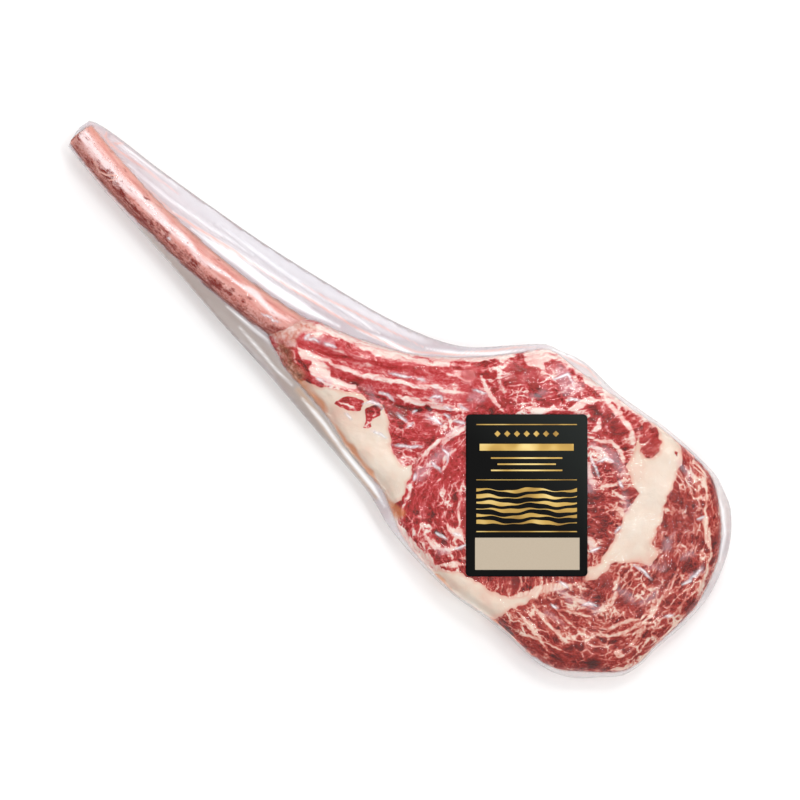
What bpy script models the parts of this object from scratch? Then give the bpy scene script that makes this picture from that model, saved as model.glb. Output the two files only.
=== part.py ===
"""Raw tomahawk steak sealed in a clear vacuum bag, with a bare label on its cut face.

Metres, +Z up. The steak lies flat with the cut face up. +X runs from the sawn tip of the rib
bone to the far end of the meat, +Y to the rib side, and the origin is on the floor under the
middle of the whole.
"""

import math

import bmesh
import bpy
import numpy as np
from mathutils import Vector
from mathutils.geometry import delaunay_2d_cdt

# Gap kept between pieces that touch
GAP = 0.0003

# The meat: plan outline, counterclockwise from the lower end of the neck
MEAT_OUTLINE = [
    (-0.0705, -0.0290), (-0.0610, -0.0335), (-0.0500, -0.0380), (-0.0300, -0.0412),
    (-0.0100, -0.0450), (0.0100, -0.0522), (0.0300, -0.0560), (0.0450, -0.0585),
    (0.0570, -0.0650), (0.0700, -0.0722), (0.0850, -0.0762), (0.1020, -0.0785),
    (0.1200, -0.0800), (0.1500, -0.0780), (0.1820, -0.0798), (0.1980, -0.0768),
    (0.2100, -0.0690), (0.2220, -0.0602), (0.2310, -0.0515), (0.2356, -0.0400),
    (0.2362, -0.0290), (0.2398, -0.0040), (0.2402, 0.0090), (0.2378, 0.0230),
    (0.2328, 0.0385), (0.2238, 0.0530), (0.2120, 0.0655), (0.2030, 0.0730),
    (0.1940, 0.0770), (0.1650, 0.0795), (0.1300, 0.0772), (0.0900, 0.0750),
    (0.0700, 0.0735), (0.0570, 0.0605), (0.0400, 0.0435), (0.0200, 0.0272),
    (0.0000, 0.0152), (-0.0200, 0.0068), (-0.0400, 0.0000), (-0.0540, -0.0035),
    (-0.0635, -0.0100), (-0.0690, -0.0200),
]
MEAT_THICKNESS = 0.0420
NECK_THICKNESS = 0.0375
NECK_LIFT = 0.0015
NECK_FROM, NECK_TO = -0.070, 0.045
TOP_RIM, BOTTOM_RIM = 0.0095, 0.0060
CROWN = 0.0012
CROWN_MIDDLE, CROWN_REACH = 0.115, 0.130
SWELL = 0.0005

# Natural seams that part the meat into its muscles and fats, each from end to end
RIB_SEAM = [
    (0.0520, -0.0410), (0.0495, -0.0300), (0.0470, -0.0140), (0.0480, 0.0000),
    (0.0520, 0.0140), (0.0565, 0.0280), (0.0600, 0.0420), (0.0605, 0.0540),
    (0.0560, 0.0660),
]
LIP_SEAM = [
    (-0.0400, -0.0480), (-0.0330, -0.0370), (-0.0200, -0.0342), (-0.0120, -0.0358),
    (0.0000, -0.0302), (0.0130, -0.0282), (0.0220, -0.0258), (0.0290, -0.0305),
    (0.0380, -0.0355), (0.0520, -0.0410), (0.0555, -0.0500), (0.0568, -0.0590),
    (0.0560, -0.0720),
]
EYE_SEAM = [
    (0.1640, 0.0880), (0.1630, 0.0790), (0.1622, 0.0700), (0.1590, 0.0610),
    (0.1490, 0.0560), (0.1560, 0.0460), (0.1680, 0.0390), (0.1730, 0.0290),
    (0.1740, 0.0100), (0.1752, -0.0060), (0.1765, -0.0200), (0.1735, -0.0340),
    (0.1660, -0.0460), (0.1560, -0.0545), (0.1450, -0.0620), (0.1300, -0.0655),
    (0.1160, -0.0675), (0.1060, -0.0720), (0.1010, -0.0780), (0.0990, -0.0880),
]
KERNEL_SEAM = [
    (0.1765, -0.0200), (0.1822, -0.0100), (0.1850, -0.0010), (0.1960, 0.0040),
    (0.2000, 0.0120), (0.1970, 0.0220), (0.1905, 0.0310), (0.1885, 0.0430),
    (0.1850, 0.0540), (0.1795, 0.0620), (0.1765, 0.0700), (0.1765, 0.0790),
    (0.1770, 0.0880),
]
EDGE_SEAM = [
    (0.1560, -0.0545), (0.1545, -0.0620), (0.1510, -0.0700), (0.1500, -0.0780),
    (0.1500, -0.0880),
]
# The open furrow between the two bands of rib meat, and a shorter one above it
FURROW = [
    (-0.0300, -0.0235), (-0.0100, -0.0180), (0.0100, -0.0140), (0.0250, -0.0110),
    (0.0360, 0.0000), (0.0470, 0.0040),
]
UPPER_FURROW = [(-0.0440, -0.0160), (-0.0200, -0.0110), (0.0020, 0.0010), (0.0240, 0.0130)]
SEAM_DEPTH, SEAM_WIDTH = 0.0009, 0.0030
FURROW_DEPTH, FURROW_WIDTH = 0.0026, 0.0024
# Where each piece of meat is met from above, to tell the pieces apart
SPOTS = {
    "eye_muscle": (0.1000, 0.0600),
    "cap_muscle": (0.2200, 0.0000),
    "rib_muscle": (0.0100, 0.0050),
    "kernel_fat": (0.1850, 0.0200),
    "lip_fat": (0.0200, -0.0430),
    "edge_fat": (0.1300, -0.0720),
}

# The rib bone: middle line in plan, half width in plan and half height along it
BONE_PATH = [
    (-0.2408, -0.0050), (-0.2200, -0.0096), (-0.2000, -0.0129), (-0.1800, -0.0156),
    (-0.1600, -0.0174), (-0.1400, -0.0188), (-0.1200, -0.0195), (-0.1000, -0.0196),
    (-0.0800, -0.0187), (-0.0620, -0.0168), (-0.0480, -0.0145), (-0.0360, -0.0118),
]
BONE_WIDTH = [
    0.0088, 0.0090, 0.0092, 0.0089, 0.0088, 0.0092,
    0.0097, 0.0100, 0.0104, 0.0106, 0.0100, 0.0080,
]
BONE_HEIGHT = [
    0.0120, 0.0126, 0.0130, 0.0133, 0.0136, 0.0140,
    0.0143, 0.0145, 0.0147, 0.0145, 0.0135, 0.0105,
]
BONE_Z = 0.0200
BONE_SIDES = 18
BONE_STEP = 0.0050
BONE_SQUARENESS = 2.5
TIP_CHAMFER = 0.0012
# The hidden end is a dome: how far each ring lies beyond the path's end, and its share of the size
BONE_DOME = ((0.0030, 0.88), (0.0052, 0.62), (0.0062, 0.30))

# The bag: outer edge of its film in plan, counterclockwise from the tip
BAG_OUTLINE = [
    (-0.2418, -0.0158), (-0.2350, -0.0174), (-0.2110, -0.0226), (-0.1800, -0.0274),
    (-0.1400, -0.0339), (-0.1000, -0.0409), (-0.0600, -0.0470), (-0.0200, -0.0543),
    (0.0100, -0.0601), (0.0400, -0.0661), (0.0620, -0.0742), (0.0900, -0.0797),
    (0.1200, -0.0821), (0.1395, -0.0808), (0.1610, -0.0805), (0.1820, -0.0821),
    (0.1980, -0.0805), (0.2118, -0.0742), (0.2230, -0.0644), (0.2335, -0.0545),
    (0.2382, -0.0410), (0.2388, -0.0300), (0.2436, -0.0040), (0.2441, 0.0165),
    (0.2402, 0.0350), (0.2332, 0.0520), (0.2205, 0.0682), (0.2075, 0.0757),
    (0.1980, 0.0793), (0.1610, 0.0821), (0.1200, 0.0800), (0.0920, 0.0820),
    (0.0746, 0.0778), (0.0665, 0.0756), (0.0500, 0.0613), (0.0300, 0.0438),
    (0.0100, 0.0342), (-0.0200, 0.0262), (-0.0600, 0.0200), (-0.1050, 0.0144),
    (-0.1500, 0.0110), (-0.1900, 0.0088), (-0.2280, 0.0078), (-0.2418, 0.0050),
    (-0.2438, -0.0020), (-0.2432, -0.0100),
]
BAG_Z = 0.0210
# Half thickness of the film ring at its outer edge, beside the meat and beside the bone
BAG_EDGE, BAG_SHOULDER, BAG_BONE_SHOULDER = 0.0006, 0.0130, 0.0085
BAG_REACH = 0.0070
BAG_FALL = 1.5

# The label: a card on the film, turned to the steak's diagonal
LABEL_SIZE = (0.0750, 0.1000)
LABEL_CORNER = 0.0025
LABEL_CENTRE = (0.1156, -0.0051)
LABEL_TURN = math.radians(39)
LABEL_THICKNESS = 0.0005
LABEL_MARGIN, LABEL_BLEND = 0.009, 0.020

# How finely curves and faces are divided
OUTLINE_STEP = 0.0052
FACE_STEP = 0.0095
FACE_SPACING = 0.0055
RIM_STEPS = (0.0006, 0.0022, 0.0050, 0.0095)
SEAM_SIDES = (-0.0032, 0.0032)
FURROW_SIDES = (0.0, -0.0024, 0.0024, -0.0055, 0.0055)
LINE_SPACING = 0.0021
BAG_STEPS = (GAP, 0.0016, 0.0040, 0.0080, 0.0140)
BAG_RIM = 0.0007
BAG_SPACING = 0.0011
# Height range that every upright cutter spans
CUT_LOW, CUT_HIGH = -0.01, 0.06


def clear_scene():
    """Remove every object, so that the scene holds only this model."""
    for thing in list(bpy.data.objects):
        bpy.data.objects.remove(thing, do_unlink=True)


def smooth_curve(points, step, closed):
    """Points about a step apart on a smooth curve through the given ones."""
    points = np.array(points, float)
    count = len(points)
    result = []
    for i in range(count if closed else count - 1):
        start, end = points[i], points[(i + 1) % count]
        before = points[i - 1] if closed or i else 2 * start - end
        after = points[(i + 2) % count] if closed or i + 2 < count else 2 * end - start
        span = np.linalg.norm(end - start)
        leave = (end - before) * span / (np.linalg.norm(start - before) + span)
        arrive = (after - start) * span / (np.linalg.norm(after - end) + span)
        pieces = max(1, round(span / step))
        for t in np.arange(pieces) / pieces:
            result.append(
                (2 * t**3 - 3 * t**2 + 1) * start + (t**3 - 2 * t**2 + t) * leave
                + (3 * t**2 - 2 * t**3) * end + (t**3 - t**2) * arrive
            )
    if not closed:
        result.append(points[-1])
    return np.array(result)


def side_normals(line, closed):
    """Unit vectors to the right of a line in plan, one for each point."""
    if closed:
        along = np.roll(line, -1, axis=0) - np.roll(line, 1, axis=0)
    else:
        along = np.gradient(line, axis=0)
    along /= np.linalg.norm(along, axis=1, keepdims=True)
    return np.column_stack((along[:, 1], -along[:, 0]))


def grown(loop, distance):
    """A closed outline moved outward by a distance."""
    return loop + side_normals(loop, True) * distance


def line_distance(points, line, closed):
    """Distance in plan from each point to a line."""
    ends = np.roll(line, -1, axis=0) if closed else line[1:]
    starts = line if closed else line[:-1]
    along = ends - starts
    offset = points[:, None, :] - starts[None, :, :]
    share = (offset * along).sum(2) / np.maximum((along**2).sum(1), 1e-12)
    nearest = np.clip(share, 0, 1)[:, :, None] * along
    return np.linalg.norm(offset - nearest, axis=2).min(1)


def inside(points, loop):
    """Whether each point lies inside a closed outline."""
    x, y = points[:, 0, None], points[:, 1, None]
    x0, y0 = loop[:, 0], loop[:, 1]
    x1, y1 = np.roll(x0, -1), np.roll(y0, -1)
    spans = (y0 > y) != (y1 > y)
    rise = np.where(y1 == y0, 1e-12, y1 - y0)
    crossing = x0 + (y - y0) * (x1 - x0) / rise
    return (spans & (x < crossing)).sum(1) % 2 == 1


def ease(low, high, value):
    """0 below low, 1 above high and smooth between."""
    t = np.clip((value - low) / (high - low), 0, 1)
    return t * t * (3 - 2 * t)


def rim_drop(depth, radius):
    """How far a round rim falls away at a depth in from the edge."""
    outward = np.clip(1 - depth / radius, 0, 1)
    return radius * (1 - np.sqrt(1 - outward**2))


def spaced_out(candidates, taken, spacing):
    """The candidates that keep a spacing to those taken and to each other."""
    kept = list(taken)
    for point in candidates:
        if np.min(np.linalg.norm(np.array(kept) - point, axis=1)) > spacing:
            kept.append(point)
    return np.array(kept)


def triangle_grid(low, high, step):
    """Points of an even triangular grid over a box."""
    rows = np.arange(low[1], high[1], step * math.sqrt(0.75))
    columns = np.arange(low[0], high[0], step)
    return np.array([
        (x + step / 2 * (row % 2), y) for row, y in enumerate(rows) for x in columns
    ])


MEAT = smooth_curve(MEAT_OUTLINE, OUTLINE_STEP, True)
BAG = smooth_curve(BAG_OUTLINE, OUTLINE_STEP, True)
SEAMS = [
    smooth_curve(seam, OUTLINE_STEP, False)
    for seam in (RIB_SEAM, LIP_SEAM, EYE_SEAM, KERNEL_SEAM, EDGE_SEAM)
]
FURROWS = [smooth_curve(furrow, OUTLINE_STEP, False) for furrow in (FURROW, UPPER_FURROW)]


def label_frame(points):
    """Points in plan as seen from the label, with its middle at 0, 0."""
    offset = points - np.array(LABEL_CENTRE)
    right = np.array((math.cos(LABEL_TURN), math.sin(LABEL_TURN)))
    up = np.array((-right[1], right[0]))
    return np.column_stack((offset @ right, offset @ up))


def clear_of_label(points):
    """0 under and close to the label, and 1 from 20 mm outside it."""
    local = np.abs(label_frame(points)) - np.array(LABEL_SIZE) / 2
    return ease(LABEL_MARGIN, LABEL_BLEND, local.max(1))


def hollows(points, lines, depth, width):
    """How deep soft hollows along lines lie at each point."""
    return sum(
        depth * np.exp(-(line_distance(points, line, False) / width) ** 2) for line in lines
    )


def cut_face(points):
    """Height of the meat's upper cut face."""
    x, y = points.T
    height = NECK_THICKNESS + (MEAT_THICKNESS - NECK_THICKNESS) * ease(NECK_FROM, NECK_TO, x)
    outward = ((x - CROWN_MIDDLE) ** 2 + y**2) / CROWN_REACH**2
    height = height - CROWN * outward * ease(-0.02, 0.10, x)
    relief = SWELL * (np.sin(x * 190 + y * 70) + np.sin(y * 230 - x * 60 + 1.3))
    relief = relief - hollows(points, SEAMS, SEAM_DEPTH, SEAM_WIDTH)
    relief = relief - hollows(points, FURROWS, FURROW_DEPTH, FURROW_WIDTH)
    height = height + relief * clear_of_label(points)
    return height - rim_drop(line_distance(points, MEAT, True), TOP_RIM)


def underside(points):
    """Height of the meat's flat underside, lifted a little at the neck."""
    lift = NECK_LIFT * (1 - ease(NECK_FROM, -0.02, points[:, 0]))
    return lift + rim_drop(line_distance(points, MEAT, True), BOTTOM_RIM)


def material(name, colour, roughness, alpha=1.0):
    """A plain Principled material."""
    made = bpy.data.materials.new(name)
    made.use_nodes = True
    shader = made.node_tree.nodes["Principled BSDF"]
    shader.inputs["Base Color"].default_value = (*colour, 1)
    shader.inputs["Roughness"].default_value = roughness
    shader.inputs["Metallic"].default_value = 0
    shader.inputs["Alpha"].default_value = alpha
    return made


def solid(name, vertices, faces, surface=None):
    """An object from points and faces, with its normals turned outward."""
    mesh = bpy.data.meshes.new(name)
    mesh.from_pydata([tuple(v) for v in vertices], [], faces)
    work = bmesh.new()
    work.from_mesh(mesh)
    bmesh.ops.recalc_face_normals(work, faces=work.faces)
    work.to_mesh(mesh)
    work.free()
    if surface:
        mesh.materials.append(surface)
    thing = bpy.data.objects.new(name, mesh)
    bpy.context.collection.objects.link(thing)
    return thing


def slab(name, outline, filling, top, bottom, surface=None):
    """A closed body over an outline, between a top and a bottom height function."""
    count = len(outline)
    points = [Vector(p) for p in np.vstack((outline, filling))]
    flat, _, triangles, *_ = delaunay_2d_cdt(points, [], [list(range(count))], 1, 1e-7)
    plan = np.array([tuple(p) for p in flat])
    upper = np.column_stack((plan, top(plan)))
    lower = np.column_stack((plan, bottom(plan)))
    total = len(plan)
    faces = [tuple(t) for t in triangles]
    faces += [tuple(total + i for i in reversed(t)) for t in triangles]
    for i in range(count):
        j = (i + 1) % count
        faces.append((i, total + i, total + j, j))
    return solid(name, np.vstack((upper, lower)), faces, surface)


def prism(name, outline):
    """A straight-sided body over an outline, used only to cut."""
    count = len(outline)
    vertices = [(x, y, z) for z in (CUT_LOW, CUT_HIGH) for x, y in outline]
    sides = [(i, (i + 1) % count, count + (i + 1) % count, count + i) for i in range(count)]
    caps = [tuple(reversed(range(count))), tuple(range(count, 2 * count))]
    return solid(name, vertices, sides + caps)


def cut_away(body, cutters):
    """Cut each cutter from a body, then remove the cutters."""
    for cutter in cutters:
        step = body.modifiers.new(cutter.name, "BOOLEAN")
        step.operation = "DIFFERENCE"
        step.solver = "EXACT"
        step.object = cutter
        with bpy.context.temp_override(object=body, active_object=body):
            bpy.ops.object.modifier_apply(modifier=step.name)
        bpy.data.objects.remove(cutter, do_unlink=True)


def shade(thing, angle=40):
    """Shade a piece smooth, with its sharp edges kept."""
    thing.data.shade_smooth()
    thing.data.set_sharp_from_angle(angle=math.radians(angle))


def bone_body(extra):
    """The bone's rings of points, from the sawn tip to the end inside the meat."""
    line = smooth_curve(BONE_PATH, BONE_STEP, False)
    travelled = np.append(0, np.cumsum(np.linalg.norm(np.diff(line, axis=0), axis=1)))
    marks = [travelled[np.argmin(np.linalg.norm(line - p, axis=1))] for p in np.array(BONE_PATH)]
    width = np.interp(travelled, marks, BONE_WIDTH) + extra
    height = np.interp(travelled, marks, BONE_HEIGHT) + extra
    right = side_normals(line, False)
    along = np.column_stack((-right[:, 1], right[:, 0]))
    line = line.copy()
    line[0] -= along[0] * extra
    line[-1] += along[-1] * extra
    # The saw leaves a slightly broken edge at the tip, and the hidden end is domed
    stations = [(line[0], right[0], width[0] - TIP_CHAMFER, height[0] - TIP_CHAMFER)]
    stations.append((line[0] + along[0] * TIP_CHAMFER, right[0], width[0], height[0]))
    stations += list(zip(line[1:], right[1:], width[1:], height[1:]))
    for reach, share in BONE_DOME:
        centre = line[-1] + along[-1] * reach
        stations.append((centre, right[-1], width[-1] * share, height[-1] * share))
    rings = []
    for centre, side, wide, high in stations:
        for k in range(BONE_SIDES):
            turn = 2 * math.pi * k / BONE_SIDES
            cos, sin = math.cos(turn), math.sin(turn)
            across = wide * math.copysign(abs(cos) ** (2 / BONE_SQUARENESS), cos)
            up = high * math.copysign(abs(sin) ** (2 / BONE_SQUARENESS), sin)
            spot = centre + side * across
            rings.append((spot[0], spot[1], BONE_Z + up))
    return np.array(rings), len(stations)


def bone_object(name, extra, surface=None):
    """The bone as a closed body, larger by an extra where it serves as a cutter."""
    rings, stations = bone_body(extra)
    faces = [tuple(range(BONE_SIDES))]
    for i in range(stations - 1):
        for k in range(BONE_SIDES):
            j = (k + 1) % BONE_SIDES
            here, there = i * BONE_SIDES, (i + 1) * BONE_SIDES
            faces.append((here + k, there + k, there + j, here + j))
    faces.append(tuple((stations - 1) * BONE_SIDES + k for k in range(BONE_SIDES)))
    return solid(name, rings, faces, surface)


def bone_outline():
    """The bone's outline in plan, counterclockwise."""
    rings, stations = bone_body(0)
    near = [tuple(rings[i * BONE_SIDES][:2]) for i in range(stations)]
    far = [tuple(rings[i * BONE_SIDES + BONE_SIDES // 2][:2]) for i in range(stations)]
    return np.array(near + far[::-1])


def seam_blade(seam):
    """A thin upright blade along a seam, one gap thick."""
    aside = side_normals(seam, False) * GAP / 2
    return prism("seam_blade", np.vstack((seam + aside, (seam - aside)[::-1])))


def face_points():
    """Points that divide the cut face: rim rings, both sides of each seam and an even grid."""
    rings = []
    for depth in RIM_STEPS:
        ring = grown(MEAT, -depth)
        # Where the outline bends tightly a ring would cross itself, so those points go
        rings.append(ring[line_distance(ring, MEAT, True) > 0.93 * depth])
    taken = np.vstack(rings)
    lines = []
    for seam in SEAMS:
        lines += [seam + side_normals(seam, False) * side for side in SEAM_SIDES]
    for furrow in FURROWS:
        lines += [furrow + side_normals(furrow, False) * side for side in FURROW_SIDES]
    lines = np.vstack(lines)
    lines = lines[inside(lines, MEAT) & (line_distance(lines, MEAT, True) > 0.004)]
    taken = spaced_out(lines, taken, LINE_SPACING)
    grid = triangle_grid(MEAT.min(0), MEAT.max(0), FACE_STEP)
    grid = grid[inside(grid, MEAT) & (line_distance(grid, MEAT, True) > TOP_RIM)]
    return spaced_out(grid, taken, FACE_SPACING)


def make_meat(bone_cutter):
    """The meat, cut along its seams and hollowed for the bone, as one object for each piece."""
    meat = slab("meat", MEAT, face_points(), cut_face, underside)
    cut_away(meat, [seam_blade(seam) for seam in SEAMS] + [bone_cutter])
    bpy.context.view_layer.objects.active = meat
    meat.select_set(True)
    bpy.ops.object.mode_set(mode="EDIT")
    bpy.ops.mesh.select_all(action="SELECT")
    bpy.ops.mesh.separate(type="LOOSE")
    bpy.ops.object.mode_set(mode="OBJECT")
    return [thing for thing in bpy.context.scene.objects if thing.name.startswith("meat")]


def name_pieces(pieces):
    """Name and colour each piece of meat by the one spot in plan that it covers."""
    cream = material("beef fat", (0.86, 0.75, 0.60), 0.40)
    surfaces = {
        "eye_muscle": material("eye muscle", (0.42, 0.045, 0.050), 0.35),
        "cap_muscle": material("cap muscle", (0.38, 0.038, 0.045), 0.35),
        "rib_muscle": material("rib meat", (0.47, 0.070, 0.070), 0.38),
    }
    for name, (x, y) in SPOTS.items():
        for piece in pieces:
            hit, *_ = piece.ray_cast(Vector((x, y, CUT_HIGH)), Vector((0, 0, -1)))
            if hit:
                piece.name = name
                piece.data.materials.clear()
                piece.data.materials.append(surfaces.get(name, cream))
                shade(piece)


def make_bag(bone_plan):
    """The free film of the bag: a ring round the steak, high beside it and thin at the edge."""

    def half_thickness(points):
        near = np.minimum(line_distance(points, MEAT, True), line_distance(points, bone_plan, True))
        covered = inside(points, MEAT) | inside(points, bone_plan)
        near = np.where(covered, 0, np.maximum(near - 2 * GAP, 0))
        outer = line_distance(points, BAG, True)
        share = outer / np.maximum(near + outer, 1e-9)
        beside_meat = ease(-0.09, -0.03, points[:, 0])
        shoulder = BAG_BONE_SHOULDER + (BAG_SHOULDER - BAG_BONE_SHOULDER) * beside_meat
        return BAG_EDGE + (shoulder - BAG_EDGE) * share**BAG_FALL * np.exp(-near / BAG_REACH)

    rings = [
        grown(loop, reach) for reach in BAG_STEPS
        for loop in (MEAT, bone_plan)
    ]
    grid = triangle_grid(BAG.min(0), BAG.max(0), FACE_STEP)
    filling = np.vstack(rings + [grown(BAG, -BAG_RIM), grid])
    covered = inside(filling, grown(MEAT, 0.9 * GAP)) | inside(filling, grown(bone_plan, 0.9 * GAP))
    filling = filling[inside(filling, BAG) & ~covered]
    filling = filling[line_distance(filling, BAG, True) > 0.9 * BAG_RIM]
    filling = spaced_out(filling[1:], filling[:1], BAG_SPACING)
    film = material("clear film", (0.88, 0.88, 0.89), 0.15, 0.45)
    bag = slab(
        "bag", BAG, filling,
        lambda points: BAG_Z + half_thickness(points),
        lambda points: BAG_Z - half_thickness(points),
        film,
    )
    cut_away(bag, [
        prism("meat_space", grown(MEAT, GAP)),
        prism("bone_space", grown(bone_plan, GAP)),
    ])
    shade(bag)
    return bag


def make_label():
    """The label: a thin card with round corners, laid along the cut face."""
    half = np.array(LABEL_SIZE) / 2 - LABEL_CORNER
    outline = []
    for quarter, (sx, sy) in enumerate(((1, 1), (-1, 1), (-1, -1), (1, -1))):
        for step in range(5):
            turn = math.radians(90 * quarter + 22.5 * step)
            corner = (half[0] * sx, half[1] * sy)
            outline.append((
                corner[0] + LABEL_CORNER * math.cos(turn),
                corner[1] + LABEL_CORNER * math.sin(turn),
            ))
    spread = np.array([
        (x, y) for x in np.linspace(-half[0], half[0], 7) for y in np.linspace(-half[1], half[1], 9)
    ])
    right = np.array((math.cos(LABEL_TURN), math.sin(LABEL_TURN)))
    up = np.array((-right[1], right[0]))

    def placed(points):
        return np.array(LABEL_CENTRE) + points[:, :1] * right + points[:, 1:] * up

    card = material("black card", (0.006, 0.007, 0.007), 0.30)
    label = slab(
        "label", placed(np.array(outline)), placed(spread),
        lambda points: cut_face(points) + GAP + LABEL_THICKNESS,
        lambda points: cut_face(points) + GAP,
        card,
    )
    shade(label)
    return label


def build():
    """Make every piece of the steak and its pack."""
    clear_scene()
    bone = bone_object("rib_bone", 0, material("rib bone", (0.62, 0.26, 0.22), 0.42))
    shade(bone)
    name_pieces(make_meat(bone_object("bone_cutter", GAP)))
    make_bag(bone_outline())
    make_label()


build()
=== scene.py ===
"""The looks of a raw tomahawk steak sealed in clear film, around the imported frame."""

import math

import bpy
import numpy as np
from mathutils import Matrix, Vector
from mathutils.bvhtree import BVHTree
from mathutils.geometry import delaunay_2d_cdt


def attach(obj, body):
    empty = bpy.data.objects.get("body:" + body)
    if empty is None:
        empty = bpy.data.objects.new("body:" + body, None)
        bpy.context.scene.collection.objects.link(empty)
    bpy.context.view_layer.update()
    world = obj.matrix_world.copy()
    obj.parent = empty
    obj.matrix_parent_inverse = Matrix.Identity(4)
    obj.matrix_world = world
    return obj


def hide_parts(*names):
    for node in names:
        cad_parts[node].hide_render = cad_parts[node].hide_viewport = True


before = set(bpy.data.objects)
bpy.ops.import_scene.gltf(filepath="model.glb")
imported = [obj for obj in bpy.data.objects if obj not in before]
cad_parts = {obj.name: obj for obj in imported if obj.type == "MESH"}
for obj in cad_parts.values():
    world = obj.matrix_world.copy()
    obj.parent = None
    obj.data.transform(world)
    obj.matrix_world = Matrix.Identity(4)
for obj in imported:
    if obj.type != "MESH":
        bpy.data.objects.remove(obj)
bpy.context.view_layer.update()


# Rib bone
# A whole beef rib, scraped to its thin pink skin and sawn off at the tip. It is a moist oval bar,
# 18 to 21 mm across the steak and up to 29 mm through it, with blood dried into its lower flank.
def skin_over(name, nodes, voxel):
    """A new piece: the outer skin over the named solids, in even quads."""
    bpy.ops.object.select_all(action="DESELECT")
    for node in nodes:
        twin = bpy.data.objects.new(name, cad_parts[node].data.copy())
        bpy.context.collection.objects.link(twin)
        twin.select_set(True)
        bpy.context.view_layer.objects.active = twin
    if len(nodes) > 1:
        bpy.ops.object.join()
    skin = bpy.context.view_layer.objects.active
    skin.name = name
    skin.data.materials.clear()
    bpy.ops.object.mode_set(mode="EDIT")
    bpy.ops.mesh.select_all(action="SELECT")
    bpy.ops.mesh.remove_doubles(threshold=0.00001)
    bpy.ops.object.mode_set(mode="OBJECT")
    # Grown a little first, so that the skins of neighbours meet and melt into one
    swell = skin.modifiers.new("swell", "DISPLACE")
    swell.mid_level = 0
    swell.strength = 0.0002
    bpy.ops.object.modifier_apply(modifier=swell.name)
    skin.data.remesh_voxel_size = voxel
    bpy.ops.object.voxel_remesh()
    return skin


def relax(piece, factor, rounds):
    """Smooth a piece evenly."""
    bpy.context.view_layer.objects.active = piece
    smooth = piece.modifiers.new("smooth", "SMOOTH")
    smooth.factor = factor
    smooth.iterations = rounds
    bpy.ops.object.modifier_apply(modifier=smooth.name)


def corners(piece):
    """A piece's points in metres, one row each."""
    spots = np.empty(len(piece.data.vertices) * 3)
    piece.data.vertices.foreach_get("co", spots)
    return spots.reshape(-1, 3)


def facing(piece):
    """A piece's point normals, one row each."""
    normals = np.empty(len(piece.data.vertices) * 3)
    piece.data.vertex_normals.foreach_get("vector", normals)
    return normals.reshape(-1, 3)


def put(piece, spots):
    """Move a piece's points."""
    piece.data.vertices.foreach_set("co", spots.ravel())
    piece.data.update()


def mark(piece, name, values):
    """Store a number or a vector for each point of a piece, for its material to read."""
    kind = "FLOAT_VECTOR" if values.ndim == 2 else "FLOAT"
    field = piece.data.attributes.new(name, kind, "POINT")
    field.data.foreach_set("vector" if values.ndim == 2 else "value", values.ravel())


def ease(low, high, value):
    """0 below low, 1 above high and smooth between."""
    t = np.clip((value - low) / (high - low), 0, 1)
    return t * t * (3 - 2 * t)


def lumps(spots, size, seed):
    """Smooth noise from 0 to 1 whose lumps are about size apart."""
    cell = spots / size + seed * 17.31
    low = np.floor(cell)
    part = cell - low
    part = part * part * (3 - 2 * part)
    low = low.astype(np.int64)
    total = np.zeros(len(spots))
    for corner in range(8):
        step = np.array((corner & 1, corner >> 1 & 1, corner >> 2))
        key = (low + step) @ np.array((73856093, 19349663, 83492791)) + seed * 2654435
        key = (key ^ (key >> 13)) * 1274126177 & 0xFFFFFFFF
        key = (key ^ (key >> 16)) & 0xFFFF
        share = np.where(step, part, 1 - part).prod(1)
        total += share * key / 65535
    return total


def stroke(spots, line, width, blur, tip=1.0):
    """1 along a line drawn in plan, in millimetres, fading to 0 outside its half width.

    The half width narrows to the share tip of itself at both ends of the line.
    """
    line = np.array(line, float)
    steps = np.diff(line, axis=0)
    lengths = np.linalg.norm(steps, axis=1)
    gone = np.append(0, np.cumsum(lengths)) / lengths.sum()
    best, place = np.full(len(spots), 1e9), np.zeros(len(spots))
    for k, (start, step) in enumerate(zip(line, steps)):
        offset = spots[:, :2] - start
        share = np.clip((offset @ step) / (step @ step), 0, 1)
        away = np.linalg.norm(offset - share[:, None] * step, axis=1)
        place = np.where(away < best, gone[k] + share * (gone[k + 1] - gone[k]), place)
        best = np.minimum(best, away)
    half = width * (tip + (1 - tip) * ease(0, 0.3, np.minimum(place, 1 - place)))
    return 1 - ease(half - blur / 2, half + blur / 2, best)


def hexed(code, alpha=1.0):
    """An sRGB hex colour as the linear numbers that Blender works in."""
    values = [int(code[i:i + 2], 16) / 255 for i in (0, 2, 4)]
    return (*(v / 12.92 if v <= 0.04045 else ((v + 0.055) / 1.055) ** 2.4 for v in values), alpha)


def finish_named(name):
    """A new material, its node tree and its Principled shader."""
    made = bpy.data.materials.new(name)
    made.use_nodes = True
    return made, made.node_tree, made.node_tree.nodes["Principled BSDF"]


def add(tree, kind, inputs=None, **settings):
    """A node with its settings, and its inputs filled or linked."""
    made = tree.nodes.new(kind)
    for key, value in settings.items():
        setattr(made, key, value)
    for key, value in (inputs or {}).items():
        if isinstance(value, bpy.types.NodeSocket):
            tree.links.new(value, made.inputs[key])
        else:
            made.inputs[key].default_value = value
    return made


def ramped(ramp, stops):
    """Fill a colour ramp with (place, colour) stops."""
    band = ramp.color_ramp
    while len(band.elements) > 1:
        band.elements.remove(band.elements[-1])
    band.elements[0].position, band.elements[0].color = stops[0]
    for place, colour in stops[1:]:
        band.elements.new(place).color = colour


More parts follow.
